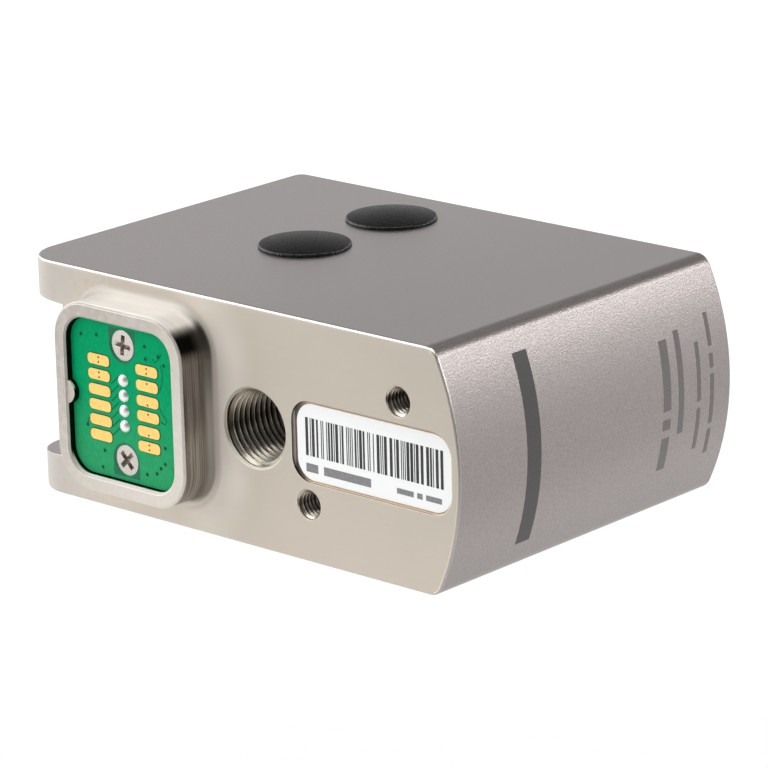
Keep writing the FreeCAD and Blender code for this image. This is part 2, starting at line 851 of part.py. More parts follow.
circle(sketch, pin_y, pin_z, s.stop_pin_diameter + s.stop_pin_gap * 2)
pocket(cell, sketch, s.stop_pin_entry + s.stop_pin_gap * 2, back=True)

# Overload pin: pressed in the fixed leg, free in a wider hole of the arm
stop_pin = doc.addObject("Part::Cylinder", "overload_pin")
stop_pin.Label = "overload_pin"
stop_pin.setExpression("Radius", (s.stop_pin_diameter / 2).formula)
stop_pin.setExpression("Height", (s.stop_pin_seat + s.arm_gap + s.stop_pin_entry).formula)
along_x = FreeCAD.Rotation(FreeCAD.Vector(0, 0, 1), FreeCAD.Vector(1, 0, 0))
place(stop_pin, beam_left - s.stop_pin_seat, pin_y, pin_z, along_x)
nodes.append(stop_pin)

# Strain gauges on the thin walls beside the drilled holes
gauges = new_body("strain_gauges")
gauge_foot = middle_z - s.gauge_width / 2
sketch = sketch_on(gauges, "XY_Plane", gauge_foot)
for side in (-0.5, 0.5):
    x = beam_x + gauge_hole_spacing * side
    rectangle(sketch, x, beam_near - s.gauge_thickness / 2, s.gauge_length, s.gauge_thickness)
    rectangle(sketch, x, beam_far + s.gauge_thickness / 2, s.gauge_length, s.gauge_thickness)
pad(gauges, sketch, s.gauge_width)

# Solder terminals of the gauges, on the near side of the free leg
terminals = new_body("gauge_terminals")
terminal_x = cell_right - s.free_leg_width / 2
terminal_z = cell_floor + s.terminal_foot + s.terminal_height / 2
sketch = facing_connector(terminals, beam_near)
rectangle(sketch, terminal_x, terminal_z, s.terminal_length, s.terminal_height)
pad(terminals, sketch, s.terminal_thickness)

# Load shaft with its threaded stud, and the nut that locks it in the arm
shaft = new_body("load_shaft")
root_radius = s.shaft_root / 2
shaft_radius = s.shaft_diameter / 2
stud_radius = s.stud_diameter / 2
shoulder = arm_height + s.nut_thickness
shaft_top = s.block_depth + s.shaft_reach - arm_near
stud_top = shaft_top + s.stud_length
turned(
    shaft,
    [
        (zero, zero),
        (root_radius, zero),
        (root_radius, shoulder),
        (shaft_radius, shoulder),
        (shaft_radius, shaft_top),
        (stud_radius, shaft_top),
        (stud_radius, stud_top - s.stud_chamfer),
        (stud_radius - s.stud_chamfer, stud_top),
        (zero, stud_top),
    ],
)
place(shaft, s.mount_x, arm_near, middle_z, towards_far_end)
nut = new_body("shaft_nut")
sketch = facing_connector(nut, cell_far)
half = s.nut_width / 2
long_half = s.nut_width / math.sqrt(3)
short_half = long_half / 2
polygon(
    sketch,
    [
        (s.mount_x + long_half, middle_z),
        (s.mount_x + short_half, middle_z + half),
        (s.mount_x - short_half, middle_z + half),
        (s.mount_x - long_half, middle_z),
        (s.mount_x - short_half, middle_z - half),
        (s.mount_x + short_half, middle_z - half),
    ],
)
circle(sketch, s.mount_x, middle_z, s.shaft_root + s.shaft_root_gap * 2)
pad(nut, sketch, s.nut_thickness, back=True)

# Gasket and end cover
gasket = new_body("cover_gasket")
sketch = facing_connector(gasket, ledge_y)
lid_width = recess_width - s.cover_gap * 2
lid_height = recess_height - s.cover_gap * 2
lid_corner = s.recess_corner - s.cover_gap
rounded_rectangle(sketch, recess_x, middle_z, lid_width, lid_height, lid_corner)
window_width = cavity_right - cavity_left
window_height = s.block_height - s.cavity_wall * 2
rounded_rectangle(sketch, recess_x, middle_z, window_width, window_height, s.cavity_corner)
for x in cover_columns:
    for z in cover_rows:
        circle(sketch, x, z, s.cover_screw_shank + s.screw_gap * 2)
pad(gasket, sketch, s.gasket_thickness, back=True)
cover = new_body("end_cover")
sketch = facing_connector(cover, cover_inner)
rounded_rectangle(sketch, recess_x, middle_z, lid_width, lid_height, lid_corner)
circle(sketch, s.mount_x, middle_z, s.seal_diameter)
for x in cover_columns:
    for z in cover_rows:
        circle(sketch, x, z, s.cover_screw_shank + s.screw_gap * 2)
pad(cover, sketch, s.cover_thickness, back=True)
cover_head_depth = (s.cover_screw_head - s.cover_screw_shank) / 2


def cover_seat(edge):
    wanted = (s.cover_screw_shank.number + s.screw_gap.number * 2) / 2
    round_edge = isinstance(edge.Curve, Part.Circle) and close(edge.Curve.Radius, wanted)
    return round_edge and all_at(edge, "Y", s.block_depth)


dress(cover, "Chamfer", cover_head_depth - s.screw_gap, cover_seat)

# Countersunk screws of the cover
cover_screws = new_body("cover_screws")
cover_head_radius = s.cover_screw_head / 2
cover_shank_radius = s.cover_screw_shank / 2
first_cover_screw = turned(
    cover_screws,
    [
        (zero, zero - s.cover_screw_length),
        (cover_shank_radius, zero - s.cover_screw_length),
        (cover_shank_radius, zero - cover_head_depth),
        (cover_head_radius, zero),
        (zero, zero),
    ],
)
row_of(
    cover_screws,
    first_cover_screw,
    "X_Axis",
    cover_columns[1] - cover_columns[0],
    2,
    Direction2=axis_of(cover_screws, "Y_Axis"),
    Length2=s.cover_screw_spacing,
    Occurrences2=2,
)
place(cover_screws, cover_columns[0], s.block_depth, cover_rows[1], towards_far_end)

# Rubber ring that closes the cover's bore round the shaft
seal = new_body("shaft_seal")
seal_inner = shaft_radius + s.seal_gap
seal_outer = s.seal_diameter / 2
turned(
    seal,
    [
        (seal_inner, zero),
        (seal_outer, zero),
        (seal_outer, s.seal_thickness),
        (seal_inner + s.seal_gap * 3, s.seal_thickness),
        (seal_inner, s.seal_thickness * 0.8),
    ],
)
place(seal, s.mount_x, cover_inner, middle_z, towards_far_end)

# Signal board on standoffs beside the curved front wall
signal_board = new_body("signal_board")
signal_y = signal_near + s.signal_length / 2
sketch = sketch_on(signal_board, "YZ_Plane", signal_face)
rectangle(sketch, signal_y, middle_z, s.signal_length, s.signal_height)
for y, z in signal_screws:
    circle(sketch, y, z, s.signal_screw_shank + s.screw_gap * 2)
pad(signal_board, sketch, s.signal_thickness)
standoffs = new_body("board_standoffs")
sketch = sketch_on(standoffs, "YZ_Plane", cavity_right - s.standoff_height)
for y, z in signal_screws:
    circle(sketch, y, z, s.standoff_diameter)
    circle(sketch, y, z, s.signal_screw_shank + s.screw_gap * 2)
pad(standoffs, sketch, s.standoff_height)
signal_fixings = new_body("signal_screws")
sketch = sketch_on(signal_fixings, "YZ_Plane", signal_face)
for y, z in signal_screws:
    circle(sketch, y, z, s.signal_screw_head)
pad(signal_fixings, sketch, s.signal_screw_head_height, back=True)
sketch = sketch_on(signal_fixings, "YZ_Plane", signal_face)
for y, z in signal_screws:
    circle(sketch, y, z, s.signal_screw_shank)
pad(signal_fixings, sketch, s.signal_screw_length)
chips = new_body("signal_chips")
sketch = sketch_on(chips, "YZ_Plane", signal_face)
chip_y = signal_near + s.signal_length / 2
rectangle(sketch, chip_y, middle_z + s.signal_height / 5, s.signal_length / 4, s.signal_length / 4)
rectangle(sketch, chip_y, middle_z - s.signal_height / 4, s.signal_length / 5, s.signal_length / 6)
side_chip_y = chip_y + s.signal_length / 4
rectangle(sketch, side_chip_y, middle_z + s.signal_height / 5, s.signal_length / 8, s.signal_length / 6)
pad(chips, sketch, s.chip_height, back=True)


def ribbon(label, points, width, middle):
    """A flat cable on edge, with its outline in plan given by points."""
    body = new_body(label)
    sketch = sketch_on(body, "XY_Plane", middle - width / 2)
    polygon(sketch, points)
    pad(body, sketch, width)
    return body


def bend(body, corners, radius):
    """Rounds the upright edges of a cable at some corners of its plan."""
    dress(
        body,
        "Fillet",
        radius,
        lambda edge: any(all_at(edge, "X", x) and all_at(edge, "Y", y) for x, y in corners),
    )


# Flat cable from the socket to the signal board
half_ribbon = s.ribbon_thickness / 2
board_side = signal_face - s.ribbon_thickness
ribbon_end = signal_near + s.ribbon_lap
ribbon_y = (cavity_near + cell_near) / 2
lead_near = ribbon_y - half_ribbon
lead_far = ribbon_y + half_ribbon
lead_left = s.boss_x - half_ribbon
lead_right = s.boss_x + half_ribbon
lead = ribbon(
    "lead_ribbon",
    [
        (lead_left, socket_back),
        (lead_right, socket_back),
        (lead_right, lead_near),
        (signal_face, lead_near),
        (signal_face, ribbon_end),
        (board_side, ribbon_end),
        (board_side, lead_far),
        (lead_left, lead_far),
    ],
    s.ribbon_width,
    boss_z,
)
bend(lead, [(lead_right, lead_near), (board_side, lead_far)], s.ribbon_bend)
bend(lead, [(lead_left, lead_far), (signal_face, lead_near)], s.ribbon_bend + s.ribbon_thickness)

# Flat cable from the gauge terminals to the signal board
terminal_face = beam_near - s.terminal_thickness
gauge_near = terminal_face - s.gauge_ribbon_thickness
gauge_side = signal_face - s.gauge_ribbon_thickness
gauge_lead = ribbon(
    "gauge_ribbon",
    [
        (terminal_x, gauge_near),
        (signal_face, gauge_near),
        (signal_face, ribbon_end),
        (gauge_side, ribbon_end),
        (gauge_side, terminal_face),
        (terminal_x, terminal_face),
    ],
    s.gauge_ribbon_width,
    terminal_z - s.gauge_ribbon_drop,
)
bend(gauge_lead, [(gauge_side, terminal_face)], s.gauge_ribbon_bend)
bend(gauge_lead, [(signal_face, gauge_near)], s.gauge_ribbon_bend + s.gauge_ribbon_thickness)

# Check every object, then write one file for each piece
doc.recompute()
for thing in doc.Objects:
    if "Invalid" in thing.State or "Error" in thing.State:
        raise RuntimeError(f"{thing.Label} is not built: {thing.State}")
os.makedirs("parts", exist_ok=True)
for node in nodes:
    if node.Shape.isNull() or not node.Shape.isValid():
        raise RuntimeError(f"{node.Label} has no valid shape")
    node.Shape.exportStep(f"parts/{node.Label}.step")
    print(node.Label, len(node.Shape.Solids), round(node.Shape.Volume, 1))
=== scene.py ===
import bmesh
import bpy
import json
import math
import random
from mathutils import Matrix, Vector


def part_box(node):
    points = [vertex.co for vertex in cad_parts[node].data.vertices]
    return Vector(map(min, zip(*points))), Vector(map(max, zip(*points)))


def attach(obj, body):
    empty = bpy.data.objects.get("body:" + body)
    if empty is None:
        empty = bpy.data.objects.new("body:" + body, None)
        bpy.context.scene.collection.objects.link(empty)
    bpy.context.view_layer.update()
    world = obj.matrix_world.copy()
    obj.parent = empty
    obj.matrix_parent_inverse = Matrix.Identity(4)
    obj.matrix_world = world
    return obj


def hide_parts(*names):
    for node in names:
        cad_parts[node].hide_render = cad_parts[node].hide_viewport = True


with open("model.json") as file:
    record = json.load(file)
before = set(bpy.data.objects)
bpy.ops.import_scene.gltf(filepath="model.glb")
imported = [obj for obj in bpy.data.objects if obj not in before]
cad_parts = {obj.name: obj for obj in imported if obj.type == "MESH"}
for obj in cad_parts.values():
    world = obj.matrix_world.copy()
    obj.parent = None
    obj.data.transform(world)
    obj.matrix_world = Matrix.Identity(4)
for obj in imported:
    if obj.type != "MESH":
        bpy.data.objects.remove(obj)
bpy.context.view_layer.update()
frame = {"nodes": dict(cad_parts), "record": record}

MM = 0.001
DEGREE = math.radians(1.0)
mounts = {mount["name"]: mount for mount in frame["record"]["mounts"]}


def node_corners(node):
    """The low and the high corner of a CAD node, in millimetres."""
    return [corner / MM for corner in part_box(node)]


def mount_place(name):
    """The place of a mount, in millimetres."""
    return Vector(mounts[name]["pos_m"]) / MM


def mount_size(name, size):
    return mounts[name]["dims"][size]


# The block, in millimetres: from the frame where its nodes and mounts show it
block_low, block_high = node_corners("housing")
cover_low, cover_high = node_corners("end_cover")
RIM_Y = block_low.y
FACE_Y = mount_place("connector_face").y
FAR_Y = cover_high.y
TOP_Z = block_high.z
CHANNEL_X = mount_place("rear_channel").x
FRONT_X = -block_low.x
MOUNT_X, _, MIDDLE_Z = mount_place("mount_thread")
MOUNT_RADIUS = mount_size("mount_thread", "r_mm")
MOUNT_CHAMFER = 0.4
FRONT_RADIUS = 42.66
ARC_X = FRONT_X - FRONT_RADIUS + math.sqrt(FRONT_RADIUS**2 - MIDDLE_Z**2)
EDGE_BREAK = 0.6

# The connector boss: the centres of its corners from its middle, at any depth, and distances from them
board_low, board_high = node_corners("contact_board")
BOARD_Y = board_low.y
BOSS_X, _, BOSS_Z = (board_low + board_high) / 2
ANY_DEPTH = 99.0
BOSS_CORNERS = (7.55, ANY_DEPTH, 8.95)
RIM_MIDDLE = 5.4
ROOT_END = 8.6

# Contacts and screws
pads_low, pads_high = node_corners("contact_pads")
PAD_LENGTH, PAD_HEIGHT, PAD_CORNER = 4.84, 1.78, 0.7
PAD_ROWS = 6
PAD_COLUMN = (pads_high.x - pads_low.x - PAD_LENGTH) / 2
PAD_PITCH = (pads_high.z - pads_low.z - PAD_HEIGHT) / (PAD_ROWS - 1)
BOARD_SCREW_RADIUS = 2.575
BOARD_SCREW_RISE = node_corners("board_screws")[1].z - BOARD_SCREW_RADIUS - BOSS_Z
COVER_SCREW_RADIUS = 2.8
COVER_SCREW_INSET = 3.225
COVER_SCREW_RISE = 10.0

# Label and plugs
label_low, label_high = node_corners("serial_label")
plugs_low, plugs_high = node_corners("access_plugs")
LABEL_MIDDLE = (label_low + label_high) / 2
LABEL_REACH = (label_high - label_low) / 2
PLUG_RADIUS = (plugs_high.x - plugs_low.x) / 2

# The photograph's camera, in metres
CAMERA_PLACE = (0.44912, -0.50003, 0.22182)
CAMERA_TURN = 42.08 * DEGREE
CAMERA_TILT = 16.95 * DEGREE
CAMERA_ROLL = -1.367 * DEGREE


# Materials
class Nodes:
    """Short ways to add nodes to a tree."""

    def __init__(self, tree):
        self.tree = tree

    def add(self, kind, **settings):
        node = self.tree.nodes.new(f"ShaderNode{kind}")
        for name, value in settings.items():
            setattr(node, name, value)
        return node

    def feed(self, socket, value):
        if isinstance(value, bpy.types.NodeSocket):
            self.tree.links.new(value, socket)
        else:
            socket.default_value = value

    def vector(self, operation, first, second=None):
        node = self.add("VectorMath", operation=operation)
        self.feed(node.inputs[0], first)
        if second is not None:
            self.feed(node.inputs[1], second)
        return node.outputs[0]

    def length(self, vector):
        node = self.add("VectorMath", operation="LENGTH")
        self.feed(node.inputs[0], vector)
        return node.outputs["Value"]

    def dot(self, first, second):
        node = self.add("VectorMath", operation="DOT_PRODUCT")
        self.feed(node.inputs[0], first)
        self.feed(node.inputs[1], second)
        return node.outputs["Value"]

    def math(self, operation, first, *others):
        """One operation on two numbers, or on more from left to right."""
        for other in others or (0.0,):
            node = self.add("Math", operation=operation)
            self.feed(node.inputs[0], first)
            self.feed(node.inputs[1], other)
            first = node.outputs[0]
        return first

    def product(self, *numbers):
        return self.math("MULTIPLY", *numbers)

    def parts(self, vector):
        node = self.add("SeparateXYZ")
        self.feed(node.inputs[0], vector)
        return node.outputs

    def between(self, value, low, high, start=0.0, end=1.0):
        """start at low and end at high, with a smooth step between them; low may be the larger one."""
        node = self.add("MapRange", interpolation_type="SMOOTHSTEP")
        for socket, amount in zip(node.inputs, (value, low, high, start, end)):
            self.feed(socket, amount)
        return node.outputs[0]

    def colour(self, amount, first, second):
        node = self.add("Mix", data_type="RGBA")
        self.feed(node.inputs[0], amount)
        for socket, value in zip((node.inputs[6], node.inputs[7]), (first, second)):
            self.feed(socket, (*value, 1.0) if isinstance(value, tuple) else value)
        return node.outputs[2]

    def number(self, amount, first, second):
        node = self.add("Mix", data_type="FLOAT")
        sockets = (node.inputs[0], node.inputs[2], node.inputs[3])
        for socket, value in zip(sockets, (amount, first, second)):
            self.feed(socket, value)
        return node.outputs[0]


class Surface(Nodes):
    """A material with one surface shader, in millimetres of the part."""

    def __init__(self, name, metallic=0.0, specular=0.5):
        self.material = bpy.data.materials.new(name)
        self.material.use_nodes = True
        super().__init__(self.material.node_tree)
        self.shader = next(node for node in self.tree.nodes if node.type == "BSDF_PRINCIPLED")
        self.set("Metallic", metallic)
        self.set("Specular IOR Level", specular)
        where = self.add("TexCoord").outputs["Object"]
        self.spot = self.vector("DIVIDE", where, (MM, MM, MM))

    def set(self, name, value):
        self.feed(self.shader.inputs[name], value)

    def noise(self, scale, detail=2.0, stretch=None):
        """Noise with about scale grains a millimetre, drawn out along some axes by stretch."""
        node = self.add("TexNoise")
        where = self.spot if stretch is None else self.vector("MULTIPLY", self.spot, stretch)
        self.feed(node.inputs["Vector"], where)
        node.inputs["Scale"].default_value = scale
        node.inputs["Detail"].default_value = detail
        return node.outputs[0]

    def past_box(self, middle, reach):
        """How far a spot lies outside a box, which reaches this far from its middle."""
        off_middle = self.vector("ABSOLUTE", self.vector("SUBTRACT", self.spot, middle))
        outside = self.vector("SUBTRACT", off_middle, reach)
        return self.length(self.vector("MAXIMUM", outside, (0.0, 0.0, 0.0)))

    def relief(self, height, depth, strength, normal=None):
        """Bump of a depth in millimetres."""
        node = self.add("Bump")
        node.inputs["Distance"].default_value = depth * MM
        node.inputs["Strength"].default_value = strength
        self.feed(node.inputs["Height"], height)
        if normal is not None:
            self.feed(node.inputs["Normal"], normal)
        return node.outputs[0]

    def soft_edges(self, radius):
        """A normal that rounds sharp edges by a radius in millimetres."""
        node = self.add("Bevel", samples=6)
        node.inputs["Radius"].default_value = radius * MM
        return node.outputs[0]


class BlockSurface(Surface):
    """The plated block: masks of its faces and edges, and a colour for each of them."""

    def __init__(self):
        super().__init__("nickel_block", metallic=1.0)
        self.x, self.y, self.z = self.parts(self.spot)
        self.right_of_boss = self.math("SUBTRACT", self.x, BOSS_X)
        self.above_boss = self.math("SUBTRACT", self.z, BOSS_Z)
        self.past_boss = self.past_box((BOSS_X, RIM_Y, BOSS_Z), BOSS_CORNERS)
        self.normal = self.add("NewGeometry").outputs["Normal"]
        self.facing_x, facing_y, self.facing_z = self.parts(self.normal)
        # How far a face looks to either end, how level it lies, and its turn from the front up
        self.endward = self.math("ABSOLUTE", facing_y)
        self.levelness = self.math("ABSOLUTE", self.facing_z)
        self.turn = self.math("ARCTAN2", self.facing_z, self.facing_x)
        self.grain = self.noise(4.5)
        self.passes = self.noise(1.6, detail=4.0, stretch=(0.04, 3.0, 0.04))
        self.smudge = self.noise(0.9, detail=4.0)
        self.find_faces()
        self.find_edges()

    def find_faces(self):
        """Masks of the milled faces, the boss's rim and sides, and the wall and lip of its pocket."""
        on_ends = self.between(self.endward, 0.5, 0.7)
        on_boss = self.between(self.y, FACE_Y - 0.01, FACE_Y - 0.4)
        on_flanges = self.between(self.x, CHANNEL_X - 1.45, CHANNEL_X - 3.45)
        behind = self.product(on_flanges, self.between(self.levelness, 0.7, 0.5))
        self.milled = self.math("MAXIMUM", on_ends, on_boss, behind)
        self.on_rim = self.between(self.y, RIM_Y + 0.4, RIM_Y + 0.25)
        below_rim = self.math("SUBTRACT", 1.0, self.on_rim)
        self.wall = self.product(on_boss, below_rim, self.between(self.endward, 0.998, 0.86))
        outside = self.between(self.past_boss, RIM_MIDDLE - 0.1, RIM_MIDDLE + 0.1)
        self.boss_side = self.product(self.wall, outside)
        self.upper_side = self.product(self.boss_side, self.between(self.turn, 45 * DEGREE, 60 * DEGREE))
        self.pocket_wall = self.math("SUBTRACT", self.wall, self.boss_side)
        faces_up = self.between(self.facing_z, 0.2, 0.6)
        near_rim = self.between(self.y, RIM_Y + 0.85, RIM_Y + 0.7)
        self.lip = self.product(self.pocket_wall, faces_up, near_rim)

    def find_edges(self):
        """Masks of the edges, for wear and painted highlights: sharp ones that don't face down, the top
        edge, and the end of the front.
        """
        self.rounded = self.soft_edges(0.18)
        sharp = self.between(self.dot(self.rounded, self.normal), 0.92, 0.995, 0.95, 0.0)
        self.sharp = self.product(sharp, self.between(self.parts(self.rounded)[2], -0.3, -0.05))
        top_edge = self.product(
            self.between(self.endward, 0.4, 0.62),
            self.between(self.facing_z, 0.45, 0.68),
            self.between(self.z, TOP_Z - EDGE_BREAK - 0.1, TOP_Z - EDGE_BREAK, 0.0, 0.95),
        )
        near_end = self.between(self.y, FACE_Y + EDGE_BREAK, FACE_Y + EDGE_BREAK - 0.04)
        on_arc = self.product(near_end, self.between(self.x, ARC_X - 0.8, ARC_X - 0.6))
        # painted highlight on the arc edge, stronger toward the top
        upper_arc = self.between(self.z, TOP_Z - 12.7, TOP_Z - 2.7, 0.12, 0.95)
        arc_edge = self.product(on_arc, self.between(self.endward, 0.6, 0.45), upper_arc)
        leaves_front = self.between(self.endward, 0.75, 0.85)
        meets_end = self.between(self.endward, 0.995, 0.96)
        self.arc_bend = self.product(on_arc, leaves_front, meets_end)
        self.wear_and_highlight = self.math("MAXIMUM", self.sharp, top_edge, arc_edge)

    def blasted_colour(self):
        """Grainy grey; painted shade darkens the level faces toward the front, painted sheen makes the
        front paler off its middle, and painted shade darkens the front toward the floor.
        """
        dark, light, shadow = (0.262, 0.234, 0.228), (0.35, 0.317, 0.307), (0.03, 0.026, 0.024)
        colour = self.colour(self.between(self.grain, 0.3, 0.7), dark, light)
        # painted shade: the level faces darken toward the front edge
        toward_front = self.between(self.x, -30.0, 35.0, 0.02, 0.14)
        is_level = self.between(self.levelness, 0.9, 0.98)
        colour = self.colour(self.product(is_level, toward_front), colour, shadow)
        # painted sheen and shade on the front: paler off its middle, darker toward the floor
        off_middle = self.math("ABSOLUTE", self.math("SUBTRACT", self.z, MIDDLE_Z))
        painted_arc_sheen = self.between(off_middle, 2.0, 15.0, 0.92, 1.14)
        painted_low_shade = self.between(self.z, 0.0, 14.0, 0.88, 1.0)
        on_front = self.between(self.facing_x, 0.5, 0.8)
        tone = self.number(on_front, 1.0, self.product(painted_arc_sheen, painted_low_shade))
        return self.vector("MULTIPLY", colour, tone)

    def milled_colour(self):
        """Warm metal, clouded, scuffed on the left, greyer on the flanges, with painted light beside the
        boss that cancels the boss's shade on the face.
        """
        warm, cloudy, scuffed = (0.57, 0.512, 0.4395), (0.44, 0.395, 0.34), (0.46, 0.43, 0.39)
        greyer, bright = (0.515, 0.485, 0.455), (0.96, 0.89, 0.8)
        cloud = self.noise(0.12, detail=3.0)
        colour = self.colour(self.between(cloud, 0.4, 0.8, 0.0, 0.1), warm, cloudy)
        at_left = self.between(self.right_of_boss, -0.95, -10.95)
        scuffs = self.product(self.between(self.smudge, 0.45, 0.7, 0.0, 0.4), at_left)
        colour = self.colour(scuffs, colour, scuffed)
        colour = self.colour(self.between(self.right_of_boss, -12.95, -20.95, 0.0, 0.6), colour, greyer)
        off_boss_middle = self.math("ABSOLUTE", self.above_boss)
        # painted light beside the boss, which cancels the shade the boss casts and reflects on the face
        painted_light_by_boss = self.product(
            self.between(self.past_boss, ROOT_END - 0.7, ROOT_END + 0.4),
            self.between(self.past_boss, ROOT_END + 8.9, ROOT_END - 2.1),
            self.between(self.right_of_boss, 5.05, 15.05, 0.12, 1.0),
            self.between(off_boss_middle, 10.0, 16.0, 1.0, 0.6),
            self.between(self.y, 1.0, 0.0),
        )
        return self.colour(painted_light_by_boss, colour, bright)

    def rim_colour(self):
        """The boss's rim: painted light makes it paler toward its lower right; it has smudges."""
        dark, light, smudged = (0.47, 0.432, 0.386), (0.67, 0.622, 0.562), (0.76, 0.72, 0.67)
        # painted light: the rim runs from darker at the upper left to paler at the lower right
        across = self.math("DIVIDE", self.right_of_boss, 14.0)
        slant = self.math("SUBTRACT", across, self.math("DIVIDE", self.above_boss, 16.0))
        colour = self.colour(self.between(slant, -1.5, 1.5), dark, light)
        return self.colour(self.between(self.smudge, 0.35, 0.75, 0.0, 0.3), colour, smudged)

    def side_colour(self):
        """The boss's sides as lit and shaded copies: painted light above and on the left, painted shade on
        the right, and a painted dark reflection round their corner.
        """
        streaks = self.between(self.passes, 0.35, 0.65)
        # painted light: the lit copy for the upper and left sides, over real streaks of the cutter
        bright = self.colour(streaks, (0.84, 0.79, 0.72), (0.98, 0.945, 0.88))
        # painted shade at the root of the lit sides
        bright_root = self.between(self.y, FACE_Y - 1.7, FACE_Y - 0.5)
        bright = self.colour(bright_root, bright, (0.58, 0.543, 0.49))
        # painted shade toward the left end of the lit sides
        left_tone = self.between(self.right_of_boss, -12.45, -3.95, 0.64, 1.0)
        bright = self.vector("MULTIPLY", bright, left_tone)
        # painted shade: the shaded copy for the right side, over real streaks of the cutter
        shaded_side = self.colour(streaks, (0.23, 0.205, 0.178), (0.54, 0.49, 0.43))
        # painted shade at the root of the shaded side
        shaded_root = self.between(self.y, FACE_Y - 2.2, FACE_Y - 1.2)
        shaded_side = self.colour(shaded_root, shaded_side, (0.27, 0.243, 0.212))
        # painted shade on the right side, darker toward its bottom and its top
        painted_low_shade = self.between(self.above_boss, -14.7, -2.7, 0.7, 1.03)
        painted_high_shade = self.between(self.above_boss, -0.7, 9.3, 1.0, 0.58)
        shaded_side = self.vector("MULTIPLY", shaded_side, self.product(painted_low_shade, painted_high_shade))
        faces_right = self.between(self.facing_x, 0.1, 0.6)
        on_right = self.product(faces_right, self.between(self.turn, 58 * DEGREE, 35 * DEGREE))
        # painted dark reflection round the upper right corner, darkest toward the rim
        in_corner = self.product(on_right, self.between(self.turn, 0.0, 20 * DEGREE))
        toward_face = self.between(self.y, RIM_Y + 3.0, FACE_Y - 0.2)
        painted_dark_reflection = self.colour(toward_face, (0.005, 0.0042, 0.0035), (0.1, 0.09, 0.08))
        return self.colour(in_corner, self.colour(on_right, bright, shaded_side), painted_dark_reflection)

    def with_label_pocket_shade(self, colour):
        """Painted shade round the label in its shallow pocket: dark at its left edge, brown along the rest.
        """
        sunk = self.between(self.y, FACE_Y + 0.02, FACE_Y + 0.06)
        round_label = self.between(self.past_box(LABEL_MIDDLE, LABEL_REACH), 0.7, 0.5)
        # painted shade, darkest at the label's left edge
        shaded = self.between(self.x, label_low.x, label_low.x + 3.0)
        label_pocket_shade = self.colour(shaded, (0.12, 0.092, 0.07), (0.6, 0.46, 0.3))
        return self.colour(self.product(sunk, round_label), colour, label_pocket_shade)

    def with_mouth(self, colour):
        """Turned rings in the mouth of the mounting hole, with painted light where it faces up and painted
        shade inside the hole.
        """
        ring_pitch = 0.2
        mouth_radius = MOUNT_RADIUS + MOUNT_CHAMFER
        from_axis = self.vector("SUBTRACT", self.spot, (MOUNT_X, 0.0, MIDDLE_Z))
        radius = self.length(self.vector("MULTIPLY", from_axis, (1.0, 0.0, 1.0)))
        rings = self.math("SINE", self.product(radius, 2.0 * math.pi / ring_pitch))
        mouth = self.colour(self.between(rings, -0.4, 0.4), (0.3, 0.255, 0.2), (0.66, 0.6, 0.52))
        # painted light where the mouth faces up
        mouth = self.colour(self.between(self.facing_z, 0.25, 0.5), mouth, (0.96, 0.9, 0.78))
        # painted shade inside the hole
        in_hole = self.between(radius, MOUNT_RADIUS + 0.05, MOUNT_RADIUS + 0.01)
        mouth = self.colour(in_hole, mouth, (0.16, 0.136, 0.11))
        return self.colour(self.between(radius, mouth_radius + 0.01, mouth_radius - 0.03), colour, mouth)

    def block_colour(self):
        """The colours of all faces, laid over each other from the widest to the smallest."""
        dirt_and_shade, lip_highlight = (0.02, 0.02, 0.018), (1.0, 0.975, 0.94)
        bend_highlight_colour, edge_highlight_colour = (0.78, 0.71, 0.61), (0.95, 0.925, 0.89)
        colour = self.colour(self.milled, self.blasted_colour(), self.milled_colour())
        colour = self.colour(self.on_rim, colour, self.rim_colour())
        colour = self.colour(self.boss_side, colour, self.side_colour())
        # painted shade: the walls of the board's pocket near black
        colour = self.colour(self.pocket_wall, colour, dirt_and_shade)
        # painted highlight: the pocket's upward-facing lip near white
        colour = self.colour(self.lip, colour, lip_highlight)
        colour = self.with_mouth(self.with_label_pocket_shade(colour))
        # painted highlight on the bend from the front to the end face
        colour = self.colour(self.arc_bend, colour, bend_highlight_colour)
        # painted highlights along the edges, where the edges also wear
        return self.colour(self.wear_and_highlight, colour, edge_highlight_colour)

    def metal_share(self):
        """Low on the satin faces and the boss's upper side, none on the pocket's lip, else full."""
        shiny = self.math("SUBTRACT", self.wall, self.lip, self.upper_side)
        satin = self.math("SUBTRACT", self.milled, shiny, self.wear_and_highlight)
        return self.number(self.lip, self.between(satin, 0.0, 1.0, 1.0, 0.3), 0.0)

    def roughness(self):
        brushed = self.noise(2.0, detail=3.0, stretch=(0.06, 1.0, 1.0))
        blasted_rough = self.between(self.grain, 0.3, 0.7, 0.32, 0.42)
        milled_rough = self.between(brushed, 0.3, 0.7, 0.57, 0.63)
        rough = self.number(self.milled, blasted_rough, milled_rough)
        rough = self.number(self.wall, rough, self.between(self.passes, 0.3, 0.7, 0.36, 0.5))
        return self.number(self.wear_and_highlight, rough, 0.3)

    def texture(self):
        """Pits of the blasting, shallower on level faces, and the passes of the cutter round the boss."""
        blast = self.number(0.5, self.grain, self.noise(3.0, detail=1.0))
        unmilled = self.math("SUBTRACT", 1.0, self.milled)
        pits = self.product(blast, self.number(self.levelness, 1.0, 0.4), unmilled)
        height = self.math("ADD", pits, self.product(self.passes, self.wall, 0.15))
        return self.relief(height, 0.1, 0.9, self.colour(self.sharp, self.rounded, self.normal))


def nickel_block():
    """Plated block: blasted on the top, underside and front, milled elsewhere, with painted light and shade
    round the boss.
    """
    skin = BlockSurface()
    skin.set("Base Color", skin.block_colour())
    skin.set("Metallic", skin.metal_share())
    skin.set("Roughness", skin.roughness())
    skin.set("Normal", skin.texture())
    return skin.material


